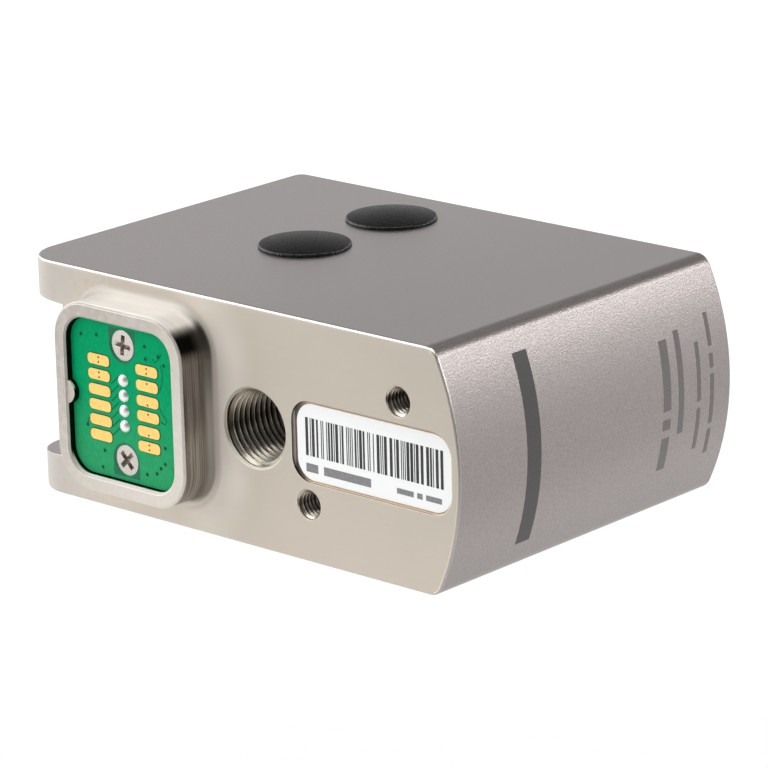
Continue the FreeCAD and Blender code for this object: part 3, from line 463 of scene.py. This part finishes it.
def milled_metal(name, dark, light, rough, along):
    """Bare machined metal with fine tool marks drawn out along one axis."""
    skin = Surface(name, metallic=1.0)
    marks = skin.noise(4.0, detail=4.0, stretch=along)
    skin.set("Base Color", skin.colour(skin.between(marks, 0.3, 0.7), dark, light))
    skin.set("Roughness", skin.between(marks, 0.25, 0.75, rough - 0.06, rough + 0.08))
    skin.set("Normal", skin.relief(marks, 0.003, 1.0, skin.soft_edges(0.08)))
    return skin.material


def cut_thread():
    """Threads in the block, with painted light and shade by how each part faces: bright crests where they
    face up, and dark flanks.
    """
    skin = Surface("cut_thread", metallic=1.0)
    marks = skin.noise(4.0, detail=4.0, stretch=(0.1, 2.0, 0.1))
    facing_x, facing_y, facing_z = skin.parts(skin.add("NewGeometry").outputs["Normal"])
    on_crest = skin.between(skin.math("ABSOLUTE", facing_y), 0.8, 0.74)
    lift = skin.math("SINE", skin.math("ARCTAN2", facing_z, facing_x))
    # painted light and shade on the flanks and crests, by how they face
    flank = skin.colour(skin.between(lift, -0.55, -0.05), (0.27, 0.23, 0.18), (0.05, 0.041, 0.032))
    flank = skin.colour(skin.between(lift, 0.25, 0.9), flank, (0.62, 0.565, 0.475))
    crest = skin.colour(skin.between(lift, -0.5, -0.1), (0.64, 0.575, 0.48), (0.26, 0.22, 0.17))
    crest = skin.colour(skin.between(lift, 0.15, 0.45), crest, (1.0, 0.95, 0.84))
    painted_thread_light = skin.colour(on_crest, flank, crest)
    dirt_and_shade = (0.1, 0.085, 0.07)
    skin.set("Base Color", skin.colour(skin.between(marks, 0.35, 0.75, 0.0, 0.5), painted_thread_light, dirt_and_shade))
    lit_crest = skin.product(on_crest, skin.between(lift, 0.1, 0.4))
    skin.set("Metallic", skin.between(lit_crest, 0.0, 1.0, 1.0, 0.25))
    skin.set("Roughness", skin.between(marks, 0.25, 0.75, 0.24, 0.36))
    skin.set("Normal", skin.relief(marks, 0.02, 1.0, skin.soft_edges(0.08)))
    return skin.material


def solder_mask():
    """Green board lacquer with a faint weave under it, and painted reflected light that makes its lower end
    yellower.
    """
    skin = Surface("solder_mask", specular=0.02)
    weave = skin.noise(2.2, stretch=(1.0, 1.0, 0.6))
    green = skin.colour(skin.between(weave, 0.3, 0.7), (0.001, 0.33, 0.125), (0.002, 0.38, 0.15))
    # painted reflected light: yellower toward the lower end
    low = skin.between(skin.parts(skin.spot)[2], board_low.z, BOSS_Z + 4.0, 0.09, 0.0)
    skin.set("Base Color", skin.colour(low, green, (0.34, 0.33, 0.16)))
    skin.set("Roughness", skin.between(weave, 0.3, 0.7, 0.3, 0.42))
    skin.set("Normal", skin.relief(weave, 0.01, 0.2))
    return skin.material


def lacquer(name, dark, light):
    """Lacquer over bare board or copper, for rings, tracks and clear areas."""
    skin = Surface(name, specular=0.08)
    weave = skin.noise(3.0)
    skin.set("Base Color", skin.colour(weave, dark, light))
    skin.set("Roughness", skin.between(weave, 0.3, 0.7, 0.32, 0.45))
    return skin.material


def gold_plate():
    skin = Surface("gold_plate", metallic=1.0)
    wear = skin.noise(1.4, detail=3.0)
    gold = skin.colour(skin.between(wear, 0.3, 0.7), (0.93, 0.55, 0.155), (0.98, 0.63, 0.21))
    skin.set("Base Color", gold)
    skin.set("Roughness", skin.between(wear, 0.3, 0.7, 0.3, 0.42))
    skin.set("Normal", skin.relief(skin.noise(6.0), 0.01, 0.25))
    return skin.material


def bright_solder():
    skin = Surface("bright_solder", metallic=1.0)
    ripple = skin.noise(2.0)
    skin.set("Base Color", skin.colour(ripple, (0.8, 0.81, 0.81), (0.92, 0.92, 0.92)))
    skin.set("Roughness", skin.between(ripple, 0.3, 0.7, 0.4, 0.5))
    skin.set("Normal", skin.relief(ripple, 0.08, 0.5))
    return skin.material


def moulded(name, dark, light, rough, grain, depth, specular=0.1):
    """Moulded plastic or rubber with a spark-eroded grain and rounded edges."""
    skin = Surface(name, specular=specular)
    pimples = skin.noise(grain)
    skin.set("Base Color", skin.colour(skin.between(pimples, 0.3, 0.7), dark, light))
    skin.set("Roughness", skin.between(pimples, 0.3, 0.7, rough - 0.06, rough + 0.08))
    skin.set("Normal", skin.relief(pimples, depth, 0.6, skin.soft_edges(0.1)))
    return skin.material


def label_film():
    skin = Surface("label_film")
    fibre = skin.noise(1.2, detail=3.0)
    skin.set("Base Color", skin.colour(fibre, (0.955, 0.968, 0.96), (0.985, 1.0, 0.992)))
    skin.set("Roughness", skin.between(fibre, 0.3, 0.7, 0.42, 0.5))
    skin.set("Normal", skin.relief(fibre, 0.006, 0.3, skin.soft_edges(0.06)))
    return skin.material


def ink(name, dark, light):
    """Printed or etched marks, a little uneven."""
    skin = Surface(name)
    cover = skin.noise(3.0, detail=3.0)
    skin.set("Base Color", skin.colour(skin.between(cover, 0.35, 0.7), dark, light))
    skin.set("Roughness", skin.between(cover, 0.3, 0.7, 0.45, 0.6))
    return skin.material


def gauge_film():
    """Amber film with the fine grid of a strain gauge."""
    skin = Surface("gauge_film")
    grid = skin.noise(1.0, detail=0.0, stretch=(0.1, 0.1, 5.0))
    amber = skin.colour(skin.between(grid, 0.45, 0.55), (0.62, 0.3, 0.06), (0.72, 0.45, 0.16))
    skin.set("Base Color", amber)
    skin.set("Roughness", skin.between(grid, 0.3, 0.7, 0.25, 0.4))
    return skin.material


def flat_cable():
    """Grey ribbon insulation with the ridges of its wires, one a millimetre, and painted shade in the
    grooves between them.
    """
    skin = Surface("flat_cable")
    wires = skin.math("SINE", skin.product(skin.parts(skin.spot)[2], 2.0 * math.pi))
    # painted shade in the grooves between the wires
    grey = skin.colour(skin.between(wires, -1.0, 1.0), (0.28, 0.29, 0.31), (0.4, 0.41, 0.43))
    skin.set("Base Color", grey)
    skin.set("Roughness", skin.between(wires, -1.0, 1.0, 0.55, 0.45))
    skin.set("Normal", skin.relief(wires, 0.15, 0.6))
    return skin.material


def sheet_paper(name, greys, glow):
    """Paper of the stage between two greys, which may glow a little to stay even."""
    skin = Surface(name)
    tooth = skin.noise(0.2, detail=3.0)
    dark, light = greys
    shade = skin.colour(tooth, (dark, dark, dark), (light, light, light))
    skin.set("Base Color", shade)
    skin.set("Emission Color", shade)
    skin.set("Emission Strength", glow)
    skin.set("Roughness", skin.between(tooth, 0.3, 0.7, 0.8, 0.9))
    return skin.material


BLOCK = nickel_block()
STEEL = milled_metal(
    "turned_steel", (0.52, 0.475, 0.44), (0.62, 0.57, 0.53), rough=0.26, along=(1.0, 0.2, 1.0)
)
MASK = solder_mask()
GOLD = gold_plate()
SOLDER = bright_solder()
BLACK = moulded(
    "black_plastic", (0.02, 0.02, 0.021), (0.03, 0.03, 0.031), rough=0.5, grain=4.0, depth=0.02
)
PLUG = moulded(
    "plug_plastic", (0.0014, 0.0011, 0.0016), (0.0105, 0.0092, 0.0112),
    rough=0.36, grain=3.0, depth=0.14, specular=0.042,
)
PLUG_EDGE = moulded(
    "plug_edge", (0.003, 0.0027, 0.0032), (0.009, 0.0083, 0.0094),
    rough=0.26, grain=1.6, depth=0.25, specular=0.4,
)
RUBBER = moulded(
    "black_rubber", (0.015, 0.015, 0.015), (0.024, 0.024, 0.024), rough=0.62, grain=5.0, depth=0.02
)
FILM = gauge_film()
CABLE = flat_cable()
COVER = milled_metal(
    "milled_cover", (0.6, 0.56, 0.49), (0.66, 0.62, 0.55), rough=0.3, along=(0.15, 1.0, 1.0)
)
CELL = milled_metal(
    "milled_cell", (0.66, 0.66, 0.65), (0.74, 0.74, 0.73), rough=0.28, along=(0.2, 1.0, 1.0)
)
BRASS = milled_metal(
    "turned_brass", (0.66, 0.5, 0.22), (0.74, 0.58, 0.28), rough=0.26, along=(1.0, 0.3, 0.3)
)

finishes = {
    "housing": BLOCK,
    "end_cover": COVER,
    "load_cell": CELL,
    "board_standoffs": BRASS,
    "contact_board": MASK,
    "signal_board": MASK,
    "contact_pads": GOLD,
    "header_pins": SOLDER,
    "header_base": BLACK,
    "lead_socket": BLACK,
    "signal_chips": BLACK,
    "access_plugs": PLUG,
    "serial_label": label_film(),
    "cover_gasket": RUBBER,
    "shaft_seal": RUBBER,
    "strain_gauges": FILM,
    "gauge_terminals": FILM,
    "lead_ribbon": CABLE,
    "gauge_ribbon": CABLE,
}
for name, node in frame["nodes"].items():
    node.data.materials.clear()
    node.data.materials.append(finishes.get(name, STEEL))


# Mesh helpers
def piece(name, shape, material, smooth_below=35.0):
    """Turns a finished bmesh, in millimetres, into a piece that rides on the part."""
    bmesh.ops.recalc_face_normals(shape, faces=shape.faces)
    bmesh.ops.scale(shape, vec=(MM, MM, MM), verts=shape.verts)
    mesh = bpy.data.meshes.new(name)
    shape.to_mesh(mesh)
    shape.free()
    mesh.shade_smooth()
    mesh.set_sharp_from_angle(angle=smooth_below * DEGREE)
    mesh.materials.append(material)
    made = bpy.data.objects.new(name, mesh)
    bpy.context.scene.collection.objects.link(made)
    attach(made, "root")
    return made


def on_plane(y, middle):
    """Places a drawing on a plane that faces the connector side: across and up from a middle, and out."""
    middle_x, middle_z = middle
    return lambda across, up, out: Vector((middle_x + across, y - out, middle_z + up))


def on_front(along, up, out):
    """Places a drawing on the curved front: along the block, up from the floor, out of the surface."""
    radius = FRONT_RADIUS + out
    rise = up - MIDDLE_Z
    return Vector((FRONT_X - FRONT_RADIUS + math.sqrt(radius**2 - rise**2), along, up))


def bridge(shape, rings):
    """Faces between each ring of vertices and the next; a ring may be one vertex over and over."""
    for ring, beyond in zip(rings, rings[1:]):
        for index in range(len(ring)):
            after = (index + 1) % len(ring)
            corners = (ring[index], ring[after], beyond[after], beyond[index])
            shape.faces.new(list(dict.fromkeys(corners)))


def band(shape, place, first, second, heights, closed=False):
    """A thin closed solid between two lines of as many points, from the low to the high height."""
    low, high = heights
    rings = []
    for start, end in zip(first, second):
        corners = ((start, low), (start, high), (end, high), (end, low))
        rings.append([shape.verts.new(place(*point, out)) for point, out in corners])
    if closed:
        bridge(shape, rings + rings[:1])
    else:
        bridge(shape, rings)
        shape.faces.new(rings[0])
        shape.faces.new(rings[-1])


def plate(shape, place, outline, heights):
    """A thin closed solid with an outline of points, from the low to the high height."""
    levels = [[shape.verts.new(place(*point, height)) for point in outline] for height in heights]
    for level in levels:
        shape.faces.new(level)
    bridge(shape, levels)


def round_points(x, z, radius, count=24):
    turn = 2.0 * math.pi / count
    angles = [turn * step for step in range(count)]
    return [(x + radius * math.cos(angle), z + radius * math.sin(angle)) for angle in angles]


def square_points(left, right, low, high):
    return [(left, low), (right, low), (right, high), (left, high)]


def rounded_points(x, z, width, height, radius):
    """A rectangle with rounded corners, as points."""
    count = 6
    points = []
    for index, (right, top) in enumerate(((1, 1), (-1, 1), (-1, -1), (1, -1))):
        centre_x = x + right * (width / 2 - radius)
        centre_z = z + top * (height / 2 - radius)
        for step in range(count + 1):
            angle = math.pi / 2 * (index + step / count)
            points.append((centre_x + radius * math.cos(angle), centre_z + radius * math.sin(angle)))
    return points


def track(shape, place, points, width, heights):
    """A printed track of even width along a bent line."""
    left, right = [], []
    for index, (x, z) in enumerate(points):
        before = Vector(points[max(index - 1, 0)])
        after = Vector(points[min(index + 1, len(points) - 1)])
        aside = (after - before).normalized().orthogonal() * width / 2
        left.append((x + aside.x, z + aside.y))
        right.append((x - aside.x, z - aside.y))
    band(shape, place, left, right, heights)


# Threads
def thread(name, material, x, z, start, length, wall, crest, pitch, mouth=0.0):
    """A helical ridge with a broken crest on a round wall about an axis along Y, inward in a hole.

    A hole starts with a chamfer that widens it by the mouth, and the chamfer cuts the first turns.
    """
    in_hole = crest < wall
    steps_a_turn = 72
    thin_end, growth_a_turn, least_gap = 0.05, 2.0, 0.004
    lead_in = 0.62 if in_hole else 0.0
    bite = 0.03 if in_hole else -0.02
    # The ridge's section: along the axis in pitches, and its rise as a share of the crest's
    foot = 0.42
    form = ((-foot, 0.0), (-0.13, 0.86), (-0.05, 1.0), (0.05, 1.0), (0.13, 0.86), (foot, 0.0))
    turns = length / pitch - foot + lead_in
    shape = bmesh.new()
    rings = []
    for step in range(int(turns * steps_a_turn) + 1):
        turn = step / steps_a_turn
        angle = 2.0 * math.pi * turn
        growth = min(1.0, thin_end + (turns - turn) * growth_a_turn)
        if not in_hole:
            growth = min(growth, thin_end + turn * growth_a_turn)
        ring = []
        for along, rise in form:
            depth = pitch * max(turn - lead_in + along, least_gap * (foot + along))
            radius = wall + max(0.0, mouth - depth) + bite
            if rise > 0.0:
                radius = wall + (crest - wall) * growth * rise
                if in_hole:
                    radius = max(radius, wall + mouth - depth + bite / 2)
            place = (x + radius * math.sin(angle), start + depth, z + radius * math.cos(angle))
            ring.append(shape.verts.new(place))
        rings.append(ring)
    bridge(shape, rings)
    shape.faces.new(rings[0])
    shape.faces.new(rings[-1])
    piece(name, shape, material, smooth_below=25.0)


HOLE_THREAD = cut_thread()
thread(
    "mount_hole_thread", HOLE_THREAD, MOUNT_X, MIDDLE_Z, FACE_Y,
    length=mount_size("mount_thread", "length_mm"),
    wall=MOUNT_RADIUS, crest=5.7, pitch=1.2, mouth=MOUNT_CHAMFER,
)
for side in ("upper", "lower"):
    x, _, z = mount_place(f"{side}_guide_thread")
    thread(
        f"{side}_guide_hole_thread", HOLE_THREAD, x, z, FACE_Y,
        length=9.6, wall=mount_size(f"{side}_guide_thread", "r_mm"), crest=2.0, pitch=0.794,
    )
thread(
    "load_stud_thread", STEEL, MOUNT_X, MIDDLE_Z, FAR_Y + 4.2,
    length=11.0, wall=mount_size("load_stud", "r_mm"), crest=3.94, pitch=1.411,
)


# Screws with a cross recess
def lathe(outline, count=72):
    """A solid turned about Z from (radius, height) points that start and end on the axis."""
    shape = bmesh.new()
    rings = []
    for radius, height in outline:
        if radius == 0.0:
            rings.append([shape.verts.new((0.0, 0.0, height))] * count)
        else:
            circle = round_points(0.0, 0.0, radius, count)
            rings.append([shape.verts.new((*point, height)) for point in circle])
    bridge(shape, rings)
    return shape


def wing(length, width, depth):
    """One tapered slot of a cross recess, cut from above the head down."""
    shape = bmesh.new()
    above = 0.3
    top = (above, length / 2, width / 2)
    bottom = (-depth, length / 4, width / 3.4)
    levels = []
    for height, half_length, half_width in (top, bottom):
        corners = square_points(-half_length, half_length, -half_width, half_width)
        levels.append([shape.verts.new((*corner, height)) for corner in corners])
    for level in levels:
        shape.faces.new(level)
    bridge(shape, levels)
    bmesh.ops.recalc_face_normals(shape, faces=shape.faces)
    return shape


def loose_object(shape):
    mesh = bpy.data.meshes.new("cut")
    shape.to_mesh(mesh)
    shape.free()
    made = bpy.data.objects.new("cut", mesh)
    bpy.context.scene.collection.objects.link(made)
    return made


def cross_screw(name, stands_for, seat, turn, head_radius, shank_radius, length):
    """A countersunk screw with a crowned head and a cross recess, turned about Z and then seated."""
    cone = head_radius - shank_radius
    edge = 0.06
    shape = lathe([
        (0.0, 0.0),
        (head_radius * 0.45, -0.01),
        (head_radius * 0.8, -0.035),
        (head_radius - edge, -edge),
        (head_radius - 0.01, -edge * 2),
        (shank_radius, -cone),
        (shank_radius, -length),
        (0.0, -length),
    ])
    bmesh.ops.recalc_face_normals(shape, faces=shape.faces)
    body = loose_object(shape)
    cutters = []
    for quarter in (0.0, math.pi / 2):
        slot_shape = wing(length=head_radius * 1.5, width=head_radius * 0.36, depth=head_radius * 0.45)
        about_axis = Matrix.Rotation(turn + quarter, 3, "Z")
        bmesh.ops.rotate(slot_shape, verts=slot_shape.verts, matrix=about_axis)
        cutter = loose_object(slot_shape)
        change = body.modifiers.new("recess", "BOOLEAN")
        change.operation = "DIFFERENCE"
        change.solver = "EXACT"
        change.object = cutter
        cutters.append(cutter)
    cut = bmesh.new()
    cut.from_object(body, bpy.context.evaluated_depsgraph_get())
    for extra in (body, *cutters):
        bpy.data.objects.remove(extra)
    bmesh.ops.transform(cut, matrix=seat, verts=cut.verts)
    made = piece(name, cut, STEEL, smooth_below=30.0)
    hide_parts(stands_for)


TO_CONNECTOR = Matrix.Rotation(math.pi / 2, 4, "X")
TO_FAR_END = Matrix.Rotation(-math.pi / 2, 4, "X")
for name, side, turn in (("lower_board_screw", -1, 0.75), ("upper_board_screw", 1, -0.12)):
    seat = Matrix.Translation((BOSS_X, BOARD_Y + 0.12, BOSS_Z + side * BOARD_SCREW_RISE)) @ TO_CONNECTOR
    cross_screw(name, "board_screws", seat, turn, BOARD_SCREW_RADIUS, shank_radius=1.4, length=7.0)
for column, x in (("rear", cover_low.x + COVER_SCREW_INSET), ("front", cover_high.x - COVER_SCREW_INSET)):
    for row, z in (("lower", MIDDLE_Z - COVER_SCREW_RISE), ("upper", MIDDLE_Z + COVER_SCREW_RISE)):
        name = f"{row}_{column}_cover_screw"
        seat = Matrix.Translation((x, FAR_Y, z)) @ TO_FAR_END
        turn = 0.4 + x * z
        cross_screw(name, "cover_screws", seat, turn, COVER_SCREW_RADIUS, shank_radius=1.5, length=12.0)


# Domed plugs with a rolled edge
def plug_outline(radius, stem, dome, stem_radius, rim):
    """Half a section, from the foot of the stem round the rolled edge to the top of the dome."""
    edge, foot = 0.35, 0.1
    edge_steps, dome_steps = 8, 12
    bow = (radius**2 + (dome - rim) ** 2) / (2 * (dome - rim))
    lean = math.asin((radius - edge) / (bow - edge))
    edge_height = dome - bow + (bow - edge) * math.cos(lean)
    points = [(0.0, -stem), (stem_radius, -stem), (stem_radius, 0.0), (radius - foot, 0.0), (radius, foot)]
    for step in range(edge_steps + 1):
        angle = math.pi / 2 + (lean - math.pi / 2) * step / edge_steps
        points.append((radius - edge + edge * math.sin(angle), edge_height + edge * math.cos(angle)))
    for step in reversed(range(dome_steps)):
        angle = lean * step / dome_steps
        points.append((bow * math.sin(angle), dome - bow + bow * math.cos(angle)))
    return points


DOME_FACING = 0.93
PLUG_OUTLINE = plug_outline(
    PLUG_RADIUS, stem=TOP_Z - plugs_low.z, dome=plugs_high.z - TOP_Z, stem_radius=6.3, rim=0.5
)
for name, y in (("near_plug", plugs_low.y + PLUG_RADIUS), ("far_plug", plugs_high.y - PLUG_RADIUS)):
    shape = lathe(PLUG_OUTLINE, count=120)
    bmesh.ops.translate(shape, vec=(plugs_low.x + PLUG_RADIUS, y, TOP_Z), verts=shape.verts)
    plug = piece(name, shape, PLUG, smooth_below=40.0)
    plug.data.materials.append(PLUG_EDGE)
    for face in plug.data.polygons:
        if face.normal.z < DOME_FACING and face.center.z > TOP_Z * MM:
            face.material_index = 1
    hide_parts("access_plugs")


# Contact board, drawn from its middle: clear areas round the screws, pad outlines, tracks, plated holes
def pad_height(row):
    """The middle of a row of contacts, counted from the lowest, over the board's middle."""
    return PAD_PITCH * (row - (PAD_ROWS - 1) / 2)


board = on_plane(BOARD_Y, (BOSS_X, BOSS_Z))
CLEAR = lacquer("bare_board", (0.02, 0.15, 0.085), (0.03, 0.19, 0.11))
OUTLINE = lacquer("pad_clearance", (0.004, 0.085, 0.04), (0.006, 0.11, 0.05))
TRACK = lacquer("covered_track", (0.001, 0.11, 0.05), (0.002, 0.15, 0.065))
HOLE = lacquer("plated_hole", (0.004, 0.06, 0.035), (0.006, 0.09, 0.05))
PAD_GAP = 0.14
TRACK_WIDTH = 0.22
HOLE_RADIUS = 0.32
DOT_RADIUS = 0.19
AREA_HEIGHTS = (-0.05, 0.012)
TRACK_HEIGHTS = (-0.05, 0.01)
HOLE_HEIGHTS = (-0.05, 0.016)
DOT_HEIGHTS = (-0.03, 0.008)

shape = bmesh.new()
clear_half, clear_reach, seat_radius, clear_steps = 2.95, 2.75, 2.62, 96
for side in (-1, 1):
    centre = side * BOARD_SCREW_RISE
    inner, outer = [], []
    for step in range(clear_steps):
        angle = 2.0 * math.pi * (step + 0.5) / clear_steps
        across, up = math.cos(angle), math.sin(angle)
        reach = clear_half
        if up * side > 0:
            reach = min(clear_half / max(abs(across), 1e-6), clear_reach / abs(up))
        inner.append((seat_radius * across, centre + seat_radius * up))
        outer.append((reach * across, centre + reach * up))
    band(shape, board, inner, outer, AREA_HEIGHTS, closed=True)
piece("screw_clear_areas", shape, CLEAR)

shape = bmesh.new()
for x in (-PAD_COLUMN, PAD_COLUMN):
    for row in range(PAD_ROWS):
        inner, outer = [
            rounded_points(x, pad_height(row), PAD_LENGTH + 2 * gap, PAD_HEIGHT + 2 * gap, PAD_CORNER + gap)
            for gap in (0.0, PAD_GAP)
        ]
        band(shape, board, inner, outer, AREA_HEIGHTS, closed=True)
piece("pad_outlines", shape, OUTLINE)

shape = bmesh.new()
lead_pitch, lowest_lead, lead_rise = 1.42, -5.8, 1.5
tracks = []
for row in range(7):
    z = lowest_lead + lead_pitch * row
    tracks.append([(-2.8, z), (-1.15, z + lead_rise)])
tracks += [
    [(6.7, 8.6), (7.35, 8.05), (8.45, 9.2), (8.75, 9.7)],
    [(8.45, 7.9), (8.9, 6.5), (8.65, 4.8), (8.15, 3.6)],
    [(8.05, 0.6), (8.55, -0.3), (9.45, -1.1), (9.05, -1.9), (8.15, -1.55)],
    [(-8.55, -5.1), (-8.25, -4.1), (-7.85, -3.5)],
]
for points in tracks:
    track(shape, board, points, TRACK_WIDTH, TRACK_HEIGHTS)
piece("board_tracks", shape, TRACK)

shape = bmesh.new()
holes = (
    (-9.25, 10.0), (-5.7, 10.4), (5.1, 10.35), (8.05, 9.2), (9.2, 7.9), (-8.55, -5.1), (-4.85, -8.8),
    (-5.45, -11.7), (4.6, -11.0), (6.8, -10.45), (7.75, -9.4), (8.75, -8.5), (8.85, -5.8), (5.2, 8.3),
)
for x, z in holes:
    plate(shape, board, round_points(x, z, HOLE_RADIUS), HOLE_HEIGHTS)
piece("plated_holes", shape, HOLE)

shape = bmesh.new()
pads = on_plane(pads_low.y, (BOSS_X, BOSS_Z))
dots = [(-PAD_COLUMN, row, offset) for row in (4, 5) for offset in (-0.4, 0.4)]
dots += [(PAD_COLUMN, row, offset) for row in (0, 5) for offset in (-0.4, 0.4)]
dots += [(PAD_COLUMN, row, offset) for row, offset in ((4, 0.45), (3, -0.55), (2, 0.45), (1, -0.5))]
for x, row, offset in dots:
    plate(shape, pads, round_points(x, pad_height(row) + offset, DOT_RADIUS, count=16), DOT_HEIGHTS)
piece("pad_holes", shape, ink("hole_shadow", (0.1, 0.045, 0.008), (0.16, 0.08, 0.02)))

# Label print, drawn from the label's middle: bars of seeded widths and two writing lines
INK = ink("label_ink", (0.012, 0.012, 0.013), (0.03, 0.03, 0.03))
LABEL_HEIGHTS = (-0.02, 0.012)
label = on_plane(label_low.y, (LABEL_MIDDLE.x, LABEL_MIDDLE.z))
draw = random.Random(41)
shape = bmesh.new()
module, bar_widths = 0.19, (1, 1, 2, 3)
x, bars_end, bars_low, bars_high = -14.1, 13.7, -2.3, 3.9
while x < bars_end:
    width = module * draw.choice(bar_widths)
    plate(shape, label, square_points(x, x + width, bars_low, bars_high), LABEL_HEIGHTS)
    x += width + module * draw.choice(bar_widths)
piece("label_bars", shape, INK)

shape = bmesh.new()
large_line, small_line = (-4.95, -3.55), (-4.75, -3.85)
for line, left, right in (
    (large_line, -14.1, -11.6), (large_line, -10.4, -0.6),
    (small_line, 4.7, 8.1), (small_line, 8.8, 9.9), (small_line, 10.6, 13.8),
):
    plate(shape, label, square_points(left, right, *line), LABEL_HEIGHTS)
piece("label_word_bars", shape, ink("word_ink", (0.2, 0.2, 0.205), (0.26, 0.26, 0.265)))

# Front print: a plain stripe near the connector end and rows of plain bars at the far end
STRIPE = ink("etched_stripe", (0.05, 0.046, 0.045), (0.07, 0.066, 0.064))
BARS = ink("etched_bars", (0.13, 0.12, 0.117), (0.17, 0.157, 0.153))
FRONT_HEIGHTS = (-0.05, 0.015)


def front_bar(shape, start, end, low, high):
    """A bar on the curved front, from start to end along the block and from low to high."""
    longest_step = 0.5
    count = math.ceil((high - low) / longest_step)
    levels = [low + (high - low) * step / count for step in range(count + 1)]
    band(shape, on_front, [(start, z) for z in levels], [(end, z) for z in levels], FRONT_HEIGHTS)


shape = bmesh.new()
front_bar(shape, start=-22.3, end=-19.0, low=4.6, high=35.4)
piece("front_stripe", shape, STRIPE)

# Each row: its middle along the block, its width, and the low end and the height of each bar
shape = bmesh.new()
rows = (
    (12.4, 1.9, (8.0, 5.5), (14.9, 1.8), (18.1, 11.6)),
    (16.0, 1.3, (13.5, 17.0)),
    (20.6, 0.9, (9.6, 7.0), (17.8, 9.8)),
    (24.0, 0.9, (8.0, 4.2), (13.2, 8.4), (22.6, 2.4), (26.2, 5.4)),
)
for middle, width, *bars in rows:
    for low, height in bars:
        front_bar(shape, middle - width / 2, middle + width / 2, low, low + height)
piece("front_bars", shape, BARS)


# Stage in metres: floor, world, lights, camera
def toward_camera(turn=0.0):
    """The level direction to the camera, turned aside by an angle."""
    return Vector((math.sin(CAMERA_TURN + turn), -math.cos(CAMERA_TURN + turn), 0.0))


def stage_sheet(name, outline, height, material):
    """A flat sheet of the stage, from points."""
    shape = bmesh.new()
    shape.faces.new([shape.verts.new((*point, height)) for point in outline])
    mesh = bpy.data.meshes.new(name)
    shape.to_mesh(mesh)
    shape.free()
    mesh.materials.append(material)
    sheet = bpy.data.objects.new(name, mesh)
    bpy.context.scene.collection.objects.link(sheet)
    return sheet


def stage_floor():
    """A pale floor, with a dark card on the camera's side that only reflections show."""
    half, just_under, just_over = 4.0, -0.00005, 0.0001
    floor = square_points(-half, half, -half, half)
    paper = sheet_paper("floor_paper", greys=(0.099, 0.101), glow=9.9)
    stage_sheet("floor", floor, just_under, paper)
    near, far, spread = 0.13, 1.6, 0.6
    corners = ((near, -spread), (near, spread), (far, spread), (far, -spread))
    card = [(reach * toward_camera(turn)).to_2d() for reach, turn in corners]
    paper = sheet_paper("card_paper", greys=(0.03, 0.05), glow=0.0)
    sheet = stage_sheet("dark_card", card, just_over, paper)
    sheet.visible_camera = False


def studio_world():
    """White walls round the horizon, dark above them and on the camera's side."""
    world = bpy.data.worlds.new("studio")
    bpy.context.scene.world = world
    world.use_nodes = True
    nodes = Nodes(world.node_tree)
    toward = nodes.add("TexCoord").outputs["Generated"]
    height = nodes.parts(toward)[2]
    wall = nodes.between(height, 0.38, 0.62, 1.05, 0.1)
    ceiling = nodes.between(height, 0.6, 0.9, 0.0, 0.25)
    level = nodes.vector("NORMALIZE", nodes.vector("MULTIPLY", toward, (1.0, 1.0, 0.0)))
    on_camera_side = nodes.between(nodes.dot(level, toward_camera()), 0.2, 0.85)
    shade = nodes.product(on_camera_side, nodes.between(height, 0.1, 0.3, 0.45, 0.85))
    lit_wall = nodes.product(wall, nodes.math("SUBTRACT", 1.0, shade))
    nodes.feed(nodes.tree.nodes["Background"].inputs["Color"], nodes.math("ADD", lit_wall, ceiling))


def softbox(name, place, width, height, level):
    """An area light that looks at the part; level is its brightness as seen."""
    target = Vector((0.0, 0.0, 0.02))
    data = bpy.data.lights.new(name, "AREA")
    data.shape = "RECTANGLE"
    data.size = width
    data.size_y = height
    data.energy = level * math.pi * width * height
    lamp = bpy.data.objects.new(name, data)
    lamp.location = place
    lamp.rotation_mode = "QUATERNION"
    lamp.rotation_quaternion = (target - Vector(place)).to_track_quat("-Z", "Y")
    bpy.context.scene.collection.objects.link(lamp)


def photo_camera():
    """The camera of the photograph, for a square picture."""
    back = toward_camera() * math.cos(CAMERA_TILT) + Vector((0.0, 0.0, math.sin(CAMERA_TILT)))
    level = Vector((math.cos(CAMERA_TURN), math.sin(CAMERA_TURN), 0.0))
    upward = back.cross(level)
    right = level * math.cos(CAMERA_ROLL) + upward * math.sin(CAMERA_ROLL)
    above = upward * math.cos(CAMERA_ROLL) - level * math.sin(CAMERA_ROLL)
    data = bpy.data.cameras.new("photo_camera")
    data.sensor_width = 36.0
    data.lens = 200.8
    data.clip_start = 0.01
    data.clip_end = 20.0
    camera = bpy.data.objects.new("photo_camera", data)
    axes = Matrix((right, above, back)).transposed().to_4x4()
    camera.matrix_world = Matrix.Translation(CAMERA_PLACE) @ axes
    bpy.context.scene.collection.objects.link(camera)
    bpy.context.scene.camera = camera


stage_floor()
studio_world()
softbox("overhead_softbox", (0.05, 0.05, 1.6), width=1.5, height=1.5, level=1.6)
softbox("key_softbox", (-0.82, -0.46, 0.62), width=1.5, height=1.2, level=2.0)
softbox("rim_softbox", (0.75, 0.8, 0.48), width=0.6, height=0.22, level=5.5)
photo_camera()
bpy.context.scene.view_settings.view_transform = "Standard"
